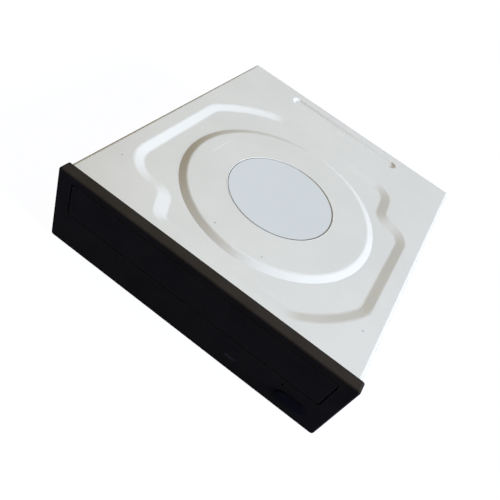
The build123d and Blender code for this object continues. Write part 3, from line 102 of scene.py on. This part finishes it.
class StudioSettings(bpy.types.PropertyGroup):
    """Camera, floor, lights and surroundings"""

    camera_place: FloatVectorProperty(
        name="Camera place", description="Where the camera stands",
        default=(0.03109, -0.20706, 0.18823), size=3, subtype="TRANSLATION", unit="LENGTH")
    camera_target: FloatVectorProperty(
        name="Camera target", description="The point that the camera looks at",
        default=(0.00308, -0.03585, 0.01999), size=3, subtype="TRANSLATION", unit="LENGTH")
    camera_roll: FloatProperty(
        name="Camera roll", description="Turn of the camera about its own line of sight",
        default=0.52, subtype="ANGLE", unit="ROTATION")
    camera_angle: FloatProperty(
        name="Camera angle", description="Field of view across the square picture",
        default=math.radians(53.54), subtype="ANGLE", unit="ROTATION")
    floor_size: FloatProperty(
        name="Floor size", description="Side of the square floor", default=4.0, subtype="DISTANCE",
        unit="LENGTH")
    floor_glow: FloatProperty(
        name="Floor glow", description="Whiteness that the floor shows beyond what falls on it", default=0.97,
        min=0)
    floor_bounce: FloatProperty(
        name="Floor bounce", description="Light that the floor throws back at the drive", default=0.03, min=0)
    key: FloatProperty(
        name="Key light", description="Strength of the soft light on the drive's right", default=6.9, min=0)
    key_height: FloatProperty(
        name="Key height", description="Height of the key light over the floor's plane",
        default=math.radians(20), subtype="ANGLE", unit="ROTATION")
    key_colour: colour_property("Key colour", "Daylight of the key light", (0.90, 0.945, 1.0))
    fill: FloatProperty(
        name="Fill light", description="Strength of the warm light on the drive's left", default=0.85, min=0)
    fill_height: FloatProperty(
        name="Fill height", description="Height of the fill light over the floor's plane",
        default=math.radians(14), subtype="ANGLE", unit="ROTATION")
    fill_colour: colour_property("Fill colour", "Lamplight of the fill light", (1.0, 0.72, 0.12))
    softness: FloatProperty(
        name="Softness", description="Width of both lights as the drive sees them",
        default=math.radians(22), subtype="ANGLE", unit="ROTATION")
    surround: FloatProperty(
        name="Surroundings", description="Brightness of the studio around the drive", default=0.88, min=0)
    overhead: FloatProperty(
        name="Overhead", description="How much brighter the surroundings are overhead", default=1.25, min=0)


# Places of the colour sockets on a Mix node
MIX_FIRST = 6
MIX_SECOND = 7
MIX_RESULT = 2

# Colours that have no setting of their own
SCREW_ZINC = (0.62, 0.62, 0.60)
MOTOR_STEEL = (0.62, 0.63, 0.64)
BRIGHT_STEEL = (0.78, 0.78, 0.79)
CAN_SILVER = (0.72, 0.74, 0.76)
# Near-black of the ring round the label: painted shade for the shadow in the gap by the label's edge
GAP_SHADE_GREY = (0.12, 0.12, 0.12)
WHITE = (1, 1, 1, 1)

# Steps round a fine ring
RING_STEPS = 160

# The floor's own colour, which the drive sees beside the floor's glow
FLOOR_SHADE = (0.045, 0.055, 0.12)

# Colour of the surroundings at an angle in degrees from +Y, the drive's back, towards +X, its right
SKY = (
    (-180, (0.045, 0.055, 0.14)),
    (-120, (0.08, 0.065, 0.05)),
    (-80, (0.17, 0.115, 0.03)),
    (-42, (0.21, 0.145, 0.045)),
    (-28, (0.58, 0.57, 0.52)),
    (12, (0.70, 0.72, 0.74)),
    (40, (0.85, 0.88, 0.92)),
    (90, (0.40, 0.41, 0.43)),
    (130, (0.09, 0.10, 0.16)),
    (180, (0.045, 0.055, 0.14)),
)

# Heights between which the surroundings grow to their strength overhead
OVERHEAD_FROM = math.radians(40)
OVERHEAD_FULL = math.radians(60)

# Nearest distance that the camera shows
CAMERA_NEAR = 0.01


class Material:
    """A node material with short ways to add what a surface needs."""

    def __init__(self, name, colour, metallic=0.0, roughness=0.5):
        self.material = bpy.data.materials.new(name)
        self.material.use_nodes = True
        self.tree = self.material.node_tree
        self.shader = self.tree.nodes["Principled BSDF"]
        self.shader.inputs["Base Color"].default_value = (*colour, 1)
        self.shader.inputs["Metallic"].default_value = metallic
        self.shader.inputs["Roughness"].default_value = roughness
        self.colour = colour
        self.height = None

    def add(self, kind, **values):
        """Adds a node and sets its own values or, by their names, its inputs."""
        node = self.tree.nodes.new(kind)
        for name, value in values.items():
            if hasattr(node, name):
                setattr(node, name, value)
            else:
                node.inputs[name.replace("_", " ").title()].default_value = value
        return node

    def link(self, source, target):
        self.tree.links.new(source, target)

    def coordinates(self, stretch):
        """Gives the place on the object, which holds still when the object moves."""
        place = self.add("ShaderNodeTexCoord")
        mapping = self.add("ShaderNodeMapping")
        mapping.inputs["Scale"].default_value = stretch
        self.link(place.outputs["Object"], mapping.inputs["Vector"])
        return mapping.outputs["Vector"]

    def noise(self, scale, detail=3, stretch=(1, 1, 1), roughness=0.5):
        """Gives a cloudy pattern with its middle near 0.5."""
        node = self.add("ShaderNodeTexNoise", scale=scale, detail=detail, roughness=roughness)
        self.link(self.coordinates(stretch), node.inputs["Vector"])
        return node.outputs["Fac"]

    def spread(self, value, low, high, from_low=0.3, from_high=0.7):
        """Maps the range that a noise mostly fills, or a given one, to low and high."""
        node = self.add("ShaderNodeMapRange")
        node.inputs["From Min"].default_value = from_low
        node.inputs["From Max"].default_value = from_high
        node.inputs["To Min"].default_value = low
        node.inputs["To Max"].default_value = high
        self.link(value, node.inputs["Value"])
        return node.outputs["Result"]

    def streak(self, centre, length, width, angle):
        """Gives 1 on a straight line that runs along Y before its turn, and 0 beside it."""
        place = self.add("ShaderNodeTexCoord")
        mapping = self.add("ShaderNodeMapping", vector_type="TEXTURE")
        mapping.inputs["Location"].default_value = centre
        mapping.inputs["Rotation"].default_value = (0, 0, angle)
        mapping.inputs["Scale"].default_value = (width / 2, length / 2, 1)
        split = self.add("ShaderNodeSeparateXYZ")
        worst = self.add("ShaderNodeMath", operation="MAXIMUM")
        self.link(place.outputs["Object"], mapping.inputs["Vector"])
        self.link(mapping.outputs["Vector"], split.inputs["Vector"])
        for number, axis in enumerate("XY"):
            size = self.add("ShaderNodeMath", operation="ABSOLUTE")
            self.link(split.outputs[axis], size.inputs[0])
            self.link(size.outputs["Value"], worst.inputs[number])
        return self.spread(worst.outputs["Value"], low=1, high=0, from_low=0.5, from_high=1)

    def lighten(self, mask, colour):
        """Shows another colour where a mask is 1, over what already colours the surface."""
        base = self.shader.inputs["Base Color"].links[0].from_socket
        mix = self.add("ShaderNodeMix", data_type="RGBA")
        mix.inputs[MIX_SECOND].default_value = (*colour, 1)
        self.link(mask, mix.inputs["Factor"])
        self.link(base, mix.inputs[MIX_FIRST])
        self.link(mix.outputs[MIX_RESULT], self.shader.inputs["Base Color"])

    def tint(self, pattern, light, dark):
        """Colours the surface between a darker and a lighter shade of its colour by a pattern."""
        mix = self.add("ShaderNodeMix", data_type="RGBA")
        mix.inputs[MIX_FIRST].default_value = (*[c * dark for c in self.colour], 1)
        mix.inputs[MIX_SECOND].default_value = (*[min(1, c * light) for c in self.colour], 1)
        self.link(self.spread(pattern, low=0, high=1), mix.inputs["Factor"])
        self.link(mix.outputs[MIX_RESULT], self.shader.inputs["Base Color"])

    def gloss(self, pattern, low, high):
        """Varies the roughness between two values by a pattern."""
        self.link(self.spread(pattern, low, high), self.shader.inputs["Roughness"])

    def relief(self, pattern, depth):
        """Adds a bump of a real depth in metres on top of any earlier one."""
        bump = self.add("ShaderNodeBump", strength=1.0, distance=depth)
        self.link(pattern, bump.inputs["Height"])
        if self.height is not None:
            self.link(self.height, bump.inputs["Normal"])
        self.height = bump.outputs["Normal"]
        self.link(self.height, self.shader.inputs["Normal"])


def dress(material, *names):
    """Gives CAD nodes a material in place of their plain one."""
    for name in names:
        mesh = NODES[name].data
        mesh.materials.clear()
        mesh.materials.append(material.material)


def sheet_steel(name, colour, roughness):
    """Zinc-plated sheet: rolled grain along the drive, soft cloudiness, a little handling wear."""
    steel = Material(name, colour, metallic=0.4, roughness=roughness)
    grain = steel.noise(700, detail=4, stretch=(6, 0.35, 6))
    cloud = steel.noise(28, detail=5, roughness=0.6)
    wear = steel.noise(60, detail=6, roughness=0.65)
    tooth = steel.noise(2400, detail=2)
    steel.tint(cloud, light=1.03, dark=0.965)
    steel.gloss(wear, low=roughness * 0.88, high=roughness * 1.15)
    steel.relief(grain, depth=0.0000025)
    steel.relief(tooth, depth=0.0000020)
    return steel


def grained_plastic(name, colour, roughness, level, grain=5200, depth=0.000012):
    """Spark-eroded moulding: fine pebble grain that scatters what gloss there is."""
    plastic = Material(name, colour, roughness=roughness)
    plastic.shader.inputs["Specular IOR Level"].default_value = level
    plastic.tint(plastic.noise(90, detail=4), light=1.15, dark=0.85)
    plastic.gloss(plastic.noise(300), low=roughness * 0.9, high=roughness * 1.1)
    plastic.relief(plastic.noise(grain, detail=2, roughness=0.6), depth)
    return plastic


def smooth_plastic(name, colour, roughness, level=0.5):
    """Polished moulding with a faint waviness."""
    plastic = Material(name, colour, roughness=roughness)
    plastic.shader.inputs["Specular IOR Level"].default_value = level
    plastic.tint(plastic.noise(120), light=1.06, dark=0.94)
    plastic.gloss(plastic.noise(240, detail=4), low=roughness * 0.85, high=roughness * 1.2)
    plastic.relief(plastic.noise(140, detail=1), depth=0.000008)
    return plastic


def paper_film(name, colour):
    """Matt printed film without marks: even, with a fine tooth and the faintest cloud."""
    film = Material(name, colour, roughness=0.5)
    film.shader.inputs["Specular IOR Level"].default_value = 0.25
    film.tint(film.noise(40, detail=4), light=1.01, dark=0.985)
    film.gloss(film.noise(500), low=0.46, high=0.54)
    film.relief(film.noise(3000, detail=2), depth=0.000003)
    return film


def turned_metal(name, colour, roughness):
    """Plated or ground metal with fine tool marks."""
    metal = Material(name, colour, metallic=1.0, roughness=roughness)
    metal.tint(metal.noise(200), light=1.04, dark=0.92)
    metal.gloss(metal.noise(900), low=roughness * 0.8, high=roughness * 1.3)
    metal.relief(metal.noise(3000, detail=1, stretch=(1, 1, 5)), depth=0.000003)
    return metal


class DRIVE_OT_case_finish(bpy.types.Operator):
    """Give the steel case, its label and its screws their finishes"""

    bl_idname = "drive.case_finish"
    bl_label = "Finish the steel case"

    hairline_place = (-0.0404, -0.0102, 0)
    hairline_length = 0.0190
    hairline_width = 0.0006
    hairline_turn = math.radians(-2)
    hairline_colour = (0.97, 0.97, 0.97)
    plate_shade = 0.86
    plate_dullness = 1.35

    def execute(self, context):
        case = context.scene.drive_case
        cover = sheet_steel("cover_steel", case.steel, case.steel_roughness)
        hairline = cover.streak(
            self.hairline_place, self.hairline_length, self.hairline_width, self.hairline_turn)
        cover.lighten(hairline, self.hairline_colour)
        plate = sheet_steel(
            "plate_steel", [c * self.plate_shade for c in case.steel],
            case.steel_roughness * self.plate_dullness)
        film = paper_film("label_film", case.label)
        zinc = turned_metal("screw_zinc", SCREW_ZINC, roughness=0.34)
        dress(cover, "top_cover")
        dress(plate, "bottom_plate", "clamp_bridge", "mechanism_plate")
        dress(film, "centre_label")
        dress(zinc, "case_screws", "board_screws", "bridge_screws", "shoulder_screws")
        return {"FINISHED"}


def on_cover(across, along):
    """Finds the place on top of the cover over a point of the floor, from a metre above."""
    above = Vector((across, along, CAD_BOX[1][2] + 1))
    found, place, _, _ = NODES["top_cover"].ray_cast(above, Vector((0, 0, -1)))
    if not found:
        raise RuntimeError("no cover at this place")
    return place


def closed_ring(name, place, radius, tube, flatten, facets):
    """Adds a fine ring about an upright axis, lower than it is wide."""
    bpy.ops.object.select_all(action="DESELECT")
    bpy.ops.mesh.primitive_torus_add(
        major_radius=radius, minor_radius=tube, major_segments=RING_STEPS, minor_segments=facets,
        location=place)
    ring = bpy.context.active_object
    ring.name = name
    bpy.ops.object.mode_set(mode="EDIT")
    bpy.ops.mesh.select_all(action="SELECT")
    bpy.ops.transform.resize(value=(1, 1, flatten), center_override=place)
    bpy.ops.object.mode_set(mode="OBJECT")
    bpy.ops.object.transform_apply(location=True, rotation=True, scale=True)
    bpy.ops.object.shade_smooth()
    return ring


class DRIVE_OT_label_edge(bpy.types.Operator):
    """Lay a near-black ring of painted shade in the gap round the label and slope the wall of its recess"""

    bl_idname = "drive.label_edge"
    bl_label = "Edge the label"

    gap_shade_reach = 0.00001
    gap_shade_sink = 0.00004
    gap_shade_tube = 0.00021
    gap_shade_flatten = 0.4
    gap_shade_facets = 10
    lip_reach = 0.0006
    lip_width = 0.00036
    lip_height = 0.00017
    lip_proud = 0.00006
    lip_facets = 4
    rim_margin = 0.001

    def execute(self, context):
        low, high = (Vector(corner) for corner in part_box("centre_label"))
        middle = (low + high) / 2
        edge = (high.x - low.x) / 2
        self.lay_gap_shade(middle, high.z, edge)
        self.coined_lip(middle, edge)
        return {"FINISHED"}

    def lay_gap_shade(self, middle, top, edge):
        """Lays a flattened near-black ring on the label's edge, with its middle just under the label's face:
        painted shade for the shadow in the gap.
        """
        centre = (middle.x, middle.y, top - self.gap_shade_sink)
        ring = closed_ring(
            "label_edge", centre, edge + self.gap_shade_reach, self.gap_shade_tube, self.gap_shade_flatten, self.gap_shade_facets)
        # Painted shade: a near-black ring where the gap round the label shows only shadow
        gap_shade = smooth_plastic("label_gap_shade", GAP_SHADE_GREY, roughness=0.5, level=0.3)
        ring.data.materials.append(gap_shade.material)
        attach(ring, "case")

    def coined_lip(self, middle, edge):
        """Slopes the recess's wall inwards: most of the ring's outer half stands inside the sheet."""
        crest = edge + self.lip_reach
        rim = on_cover(middle.x + crest + self.rim_margin, middle.y)
        centre = (middle.x, middle.y, rim.z + self.lip_proud - self.lip_height)
        flatten = self.lip_height / self.lip_width
        lip = closed_ring("recess_lip", centre, crest, self.lip_width, flatten, self.lip_facets)
        bpy.ops.object.shade_flat()
        lip.data.materials.append(NODES["top_cover"].data.materials[0])
        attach(lip, "case")


class DRIVE_OT_cover_pips(bpy.types.Operator):
    """Stand four small pips near the front of the cover, two each side, in steel darkened to half the cover's
    colour as painted shade
    """

    bl_idname = "drive.cover_pips"
    bl_label = "Add the cover's pips"

    radius = 0.00035
    flatten = 0.35
    reach = (0.0125, 0.0644)
    front = -0.0570
    # Painted shade: the pips' steel is darkened to this share of the cover's colour
    pip_painted_shade = 0.5
    roughness = 0.4

    def execute(self, context):
        case = context.scene.drive_case
        pips = [self.pip(side * reach) for reach in self.reach for side in (-1, 1)]
        for pip in pips:
            pip.select_set(True)
        bpy.ops.object.join()
        row = bpy.context.active_object
        row.name = "cover_pips"
        steel = sheet_steel("pip_steel_painted_shade", [c * self.pip_painted_shade for c in case.steel], self.roughness)
        row.data.materials.append(steel.material)
        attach(row, "case")
        return {"FINISHED"}

    def pip(self, across):
        """Half sinks a flattened ball into the sheet right under its place."""
        place = on_cover(across, self.front)
        bpy.ops.object.select_all(action="DESELECT")
        bpy.ops.mesh.primitive_uv_sphere_add(segments=16, ring_count=8, radius=self.radius, location=place)
        pip = bpy.context.active_object
        bpy.ops.object.mode_set(mode="EDIT")
        bpy.ops.mesh.select_all(action="SELECT")
        bpy.ops.transform.resize(value=(1, 1, self.flatten), center_override=place)
        bpy.ops.object.mode_set(mode="OBJECT")
        bpy.ops.object.transform_apply(location=True, rotation=True, scale=True)
        bpy.ops.object.shade_smooth()
        return pip


class DRIVE_OT_front_finish(bpy.types.Operator):
    """Give the bezel, door, button and lamp window their finishes"""

    bl_idname = "drive.front_finish"
    bl_label = "Finish the front"

    def execute(self, context):
        case = context.scene.drive_case
        bezel = grained_plastic("bezel_black", case.bezel, roughness=0.46, level=case.bezel_gloss)
        button = smooth_plastic("button_black", case.button, roughness=0.2, level=0.2)
        guide = smooth_plastic("clear_guide", case.lamp, roughness=0.3)
        dress(bezel, "front_bezel", "tray_door")
        dress(button, "eject_button")
        dress(guide, "light_guide", "activity_lamp")
        return {"FINISHED"}


class DRIVE_OT_inside_finish(bpy.types.Operator):
    """Give the tray, the mechanism and the boards their finishes"""

    bl_idname = "drive.inside_finish"
    bl_label = "Finish the inside"

    def execute(self, context):
        inside = context.scene.drive_inside
        tray = grained_plastic(
            "tray_black", inside.tray, roughness=0.38, level=0.4, grain=3600, depth=0.000008)
        frame_black = grained_plastic("frame_black", inside.frame, roughness=0.45, level=0.4)
        acetal = smooth_plastic("part_white", inside.gear, roughness=0.35)
        board = smooth_plastic("board_green", inside.board, roughness=0.28)
        package = grained_plastic("chip_black", inside.package, roughness=0.5, level=0.4)
        socket = smooth_plastic("socket_ivory", inside.socket, roughness=0.4)
        sled = turned_metal("sled_metal", inside.sled, roughness=0.42)
        rubber = grained_plastic("rubber_black", inside.rubber, roughness=0.7, level=0.3)
        core = turned_metal("motor_core", inside.copper, roughness=0.4)
        can = turned_metal("motor_steel", MOTOR_STEEL, roughness=0.28)
        bright = turned_metal("bright_steel", BRIGHT_STEEL, roughness=0.12)
        silver = turned_metal("can_silver", CAN_SILVER, roughness=0.3)
        dress(tray, "disc_tray")
        dress(frame_black, "main_frame", "lift_frame", "turntable", "clamp_disc")
        dress(acetal, "drive_gear", "pulley_gear", "motor_pulley", "cam_slider")
        dress(board, "front_board", "main_board")
        dress(package, "eject_switch", "controller_chip", "driver_chip", "memory_chip", "rear_connector",
              "lens_holder")
        dress(socket, "ribbon_sockets")
        dress(sled, "pickup_sled")
        dress(rubber, "drive_belt", "damping_bushes", "friction_ring")
        dress(core, "spindle_motor")
        dress(can, "loading_motor", "feed_motor")
        dress(bright, "guide_rods", "lead_screw")
        dress(silver, "capacitors")
        return {"FINISHED"}


class DRIVE_OT_rear_contacts(bpy.types.Operator):
    """Lay gold-flashed contact strips on the two blades of the rear connector"""

    bl_idname = "drive.rear_contacts"
    bl_label = "Plate the rear contacts"

    pitch = 0.00127
    width = 0.0008
    length = 0.0048
    thickness = 0.00012
    edge = 0.00004
    sink = 0.00002
    blade_half = 0.0006
    end_inset = 0.0011
    blades = (("data_contacts", -0.0503, 7), ("power_contacts", -0.0308, 15))

    def execute(self, context):
        low, high = (Vector(corner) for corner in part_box("rear_connector"))
        gold = turned_metal("contact_gold", context.scene.drive_inside.gold, roughness=0.25)
        height = (low.z + high.z) / 2 + self.blade_half + self.thickness / 2 - self.sink
        rear = high.y - self.end_inset - self.length / 2
        for name, middle, count in self.blades:
            first = middle - self.pitch * (count - 1) / 2
            strips = self.row(name, Vector((first, rear, height)), count)
            strips.data.materials.append(gold.material)
            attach(strips, "case")
        return {"FINISHED"}

    def row(self, name, place, count):
        """Models one strip with rounded edges and repeats it at the contact pitch."""
        bpy.ops.object.select_all(action="DESELECT")
        size = (self.width, self.length, self.thickness)
        bpy.ops.mesh.primitive_cube_add(size=1, location=place, scale=size)
        strip = bpy.context.active_object
        strip.name = name
        bpy.ops.object.transform_apply(location=True, rotation=True, scale=True)
        bpy.ops.object.mode_set(mode="EDIT")
        bpy.ops.mesh.select_all(action="SELECT")
        bpy.ops.mesh.bevel(offset=self.edge, segments=2)
        bpy.ops.object.mode_set(mode="OBJECT")
        repeat = strip.modifiers.new("pitch", "ARRAY")
        repeat.count = count
        repeat.use_relative_offset = False
        repeat.use_constant_offset = True
        repeat.constant_offset_displace = (self.pitch, 0, 0)
        bpy.ops.object.modifier_apply(modifier=repeat.name)
        return strip


class DRIVE_OT_studio(bpy.types.Operator):
    """Add the floor, the surroundings, the lights and the camera"""

    bl_idname = "drive.studio"
    bl_label = "Set up the studio"

    def execute(self, context):
        studio = context.scene.drive_studio
        self.lay_floor(studio)
        self.light_surroundings(context, studio)
        self.hang_lights(studio)
        self.place_camera(context, studio)
        context.scene.view_settings.view_transform = "Standard"
        return {"FINISHED"}

    def lay_floor(self, studio):
        """Lays a floor that the camera sees white and the drive sees dark blue."""
        bpy.ops.object.select_all(action="DESELECT")
        bpy.ops.mesh.primitive_plane_add(size=studio.floor_size, location=(0, 0, CAD_BOX[0][2]))
        floor = bpy.context.active_object
        floor.name = "floor"
        bpy.ops.object.transform_apply(location=True, rotation=True, scale=True)
        paper = Material("studio_paper", FLOOR_SHADE, roughness=1.0)
        paper.shader.inputs["Specular IOR Level"].default_value = 0
        paper.shader.inputs["Emission Color"].default_value = WHITE
        seen = paper.add("ShaderNodeLightPath").outputs["Is Camera Ray"]
        glow = paper.spread(seen, studio.floor_bounce, studio.floor_glow, from_low=0, from_high=1)
        paper.link(glow, paper.shader.inputs["Emission Strength"])
        floor.data.materials.append(paper.material)

    def light_surroundings(self, context, studio):
        """Colours the surroundings for the drive, and leaves them white for the camera."""
        world = bpy.data.worlds.new("studio")
        context.scene.world = world
        world.use_nodes = True
        nodes = world.node_tree.nodes
        link = world.node_tree.links.new
        background = nodes["Background"]
        place = nodes.new("ShaderNodeTexCoord")
        split = nodes.new("ShaderNodeSeparateXYZ")
        link(place.outputs["Generated"], split.inputs["Vector"])
        self.colour_by_direction(nodes, link, split, background)
        self.brighten_overhead(nodes, link, split, background, studio)
        white = nodes.new("ShaderNodeBackground")
        white.inputs["Color"].default_value = WHITE
        path = nodes.new("ShaderNodeLightPath")
        mix = nodes.new("ShaderNodeMixShader")
        link(path.outputs["Is Camera Ray"], mix.inputs["Fac"])
        link(background.outputs["Background"], mix.inputs[1])
        link(white.outputs["Background"], mix.inputs[2])
        link(mix.outputs["Shader"], nodes["World Output"].inputs["Surface"])

    def colour_by_direction(self, nodes, link, split, background):
        """Sets the surroundings' colour by the angle round the upright axis."""
        turn = nodes.new("ShaderNodeMath")
        turn.operation = "ARCTAN2"
        spread = nodes.new("ShaderNodeMapRange")
        spread.inputs["From Min"].default_value = -math.pi
        spread.inputs["From Max"].default_value = math.pi
        ramp = nodes.new("ShaderNodeValToRGB")
        points = ramp.color_ramp.elements
        while len(points) < len(SKY):
            points.new(0.5)
        for point, (degrees, colour) in zip(points, SKY):
            point.position = (degrees + 180) / 360
            point.color = (*colour, 1)
        link(split.outputs["X"], turn.inputs[0])
        link(split.outputs["Y"], turn.inputs[1])
        link(turn.outputs["Value"], spread.inputs["Value"])
        link(spread.outputs["Result"], ramp.inputs["Fac"])
        link(ramp.outputs["Color"], background.inputs["Color"])

    def brighten_overhead(self, nodes, link, split, background, studio):
        """Sets the surroundings' strength, which grows from one height to another."""
        overhead = nodes.new("ShaderNodeMapRange")
        overhead.inputs["From Min"].default_value = math.sin(OVERHEAD_FROM)
        overhead.inputs["From Max"].default_value = math.sin(OVERHEAD_FULL)
        overhead.inputs["To Min"].default_value = studio.surround
        overhead.inputs["To Max"].default_value = studio.surround * studio.overhead
        link(split.outputs["Z"], overhead.inputs["Value"])
        link(overhead.outputs["Result"], background.inputs["Strength"])

    def hang_lights(self, studio):
        """Hangs a soft daylight low on the drive's right and a weak warm one low on its left."""
        lights = (
            ("key_light", 1, studio.key_height, studio.key, studio.key_colour),
            ("fill_light", -1, studio.fill_height, studio.fill, studio.fill_colour),
        )
        for name, side, height, strength, colour in lights:
            lean = side * (math.pi / 2 - height)
            bpy.ops.object.light_add(type="SUN", rotation=(0, lean, 0))
            light = bpy.context.active_object
            light.name = name
            light.data.energy = strength
            light.data.angle = studio.softness
            light.data.color = colour
            light.visible_glossy = False

    def place_camera(self, context, studio):
        """Aims the camera at its target and turns it about its line of sight."""
        place = Vector(studio.camera_place)
        forward = (Vector(studio.camera_target) - place).normalized()
        level = forward.cross(Vector((0, 0, 1))).normalized()
        upright = level.cross(forward)
        turn = studio.camera_roll
        right = math.cos(turn) * level + math.sin(turn) * upright
        up = math.cos(turn) * upright - math.sin(turn) * level
        matrix = Matrix((right, up, -forward)).transposed()
        bpy.ops.object.camera_add(location=place, rotation=matrix.to_euler())
        camera = bpy.context.active_object
        camera.data.angle = studio.camera_angle
        camera.data.clip_start = CAMERA_NEAR
        context.scene.camera = camera


class DRIVE_PT_panel(bpy.types.Panel):
    """Lists the drive's building steps and settings"""

    bl_label = "Disc drive"
    bl_idname = "DRIVE_PT_panel"
    bl_space_type = "VIEW_3D"
    bl_region_type = "UI"
    bl_category = "Disc drive"

    def draw(self, context):
        for step in STEPS:
            self.layout.operator(step.bl_idname)
        for group in GROUPS:
            settings = getattr(context.scene, group)
            for name in settings.__annotations__:
                self.layout.prop(settings, name)


GROUPS = {
    "drive_case": CaseFinish,
    "drive_inside": InsideFinish,
    "drive_studio": StudioSettings,
}
STEPS = (
    DRIVE_OT_case_finish,
    DRIVE_OT_label_edge,
    DRIVE_OT_cover_pips,
    DRIVE_OT_front_finish,
    DRIVE_OT_inside_finish,
    DRIVE_OT_rear_contacts,
    DRIVE_OT_studio,
)


def register():
    for group in GROUPS.values():
        bpy.utils.register_class(group)
    for step in STEPS:
        bpy.utils.register_class(step)
    bpy.utils.register_class(DRIVE_PT_panel)
    for name, group in GROUPS.items():
        setattr(bpy.types.Scene, name, PointerProperty(type=group))


def unregister():
    for name in GROUPS:
        delattr(bpy.types.Scene, name)
    bpy.utils.unregister_class(DRIVE_PT_panel)
    for step in reversed(STEPS):
        bpy.utils.unregister_class(step)
    for group in GROUPS.values():
        bpy.utils.unregister_class(group)


def main():
    register()
    for step in STEPS:
        family, name = step.bl_idname.split(".")
        getattr(getattr(bpy.ops, family), name)()


if __name__ == "__main__":
    main()
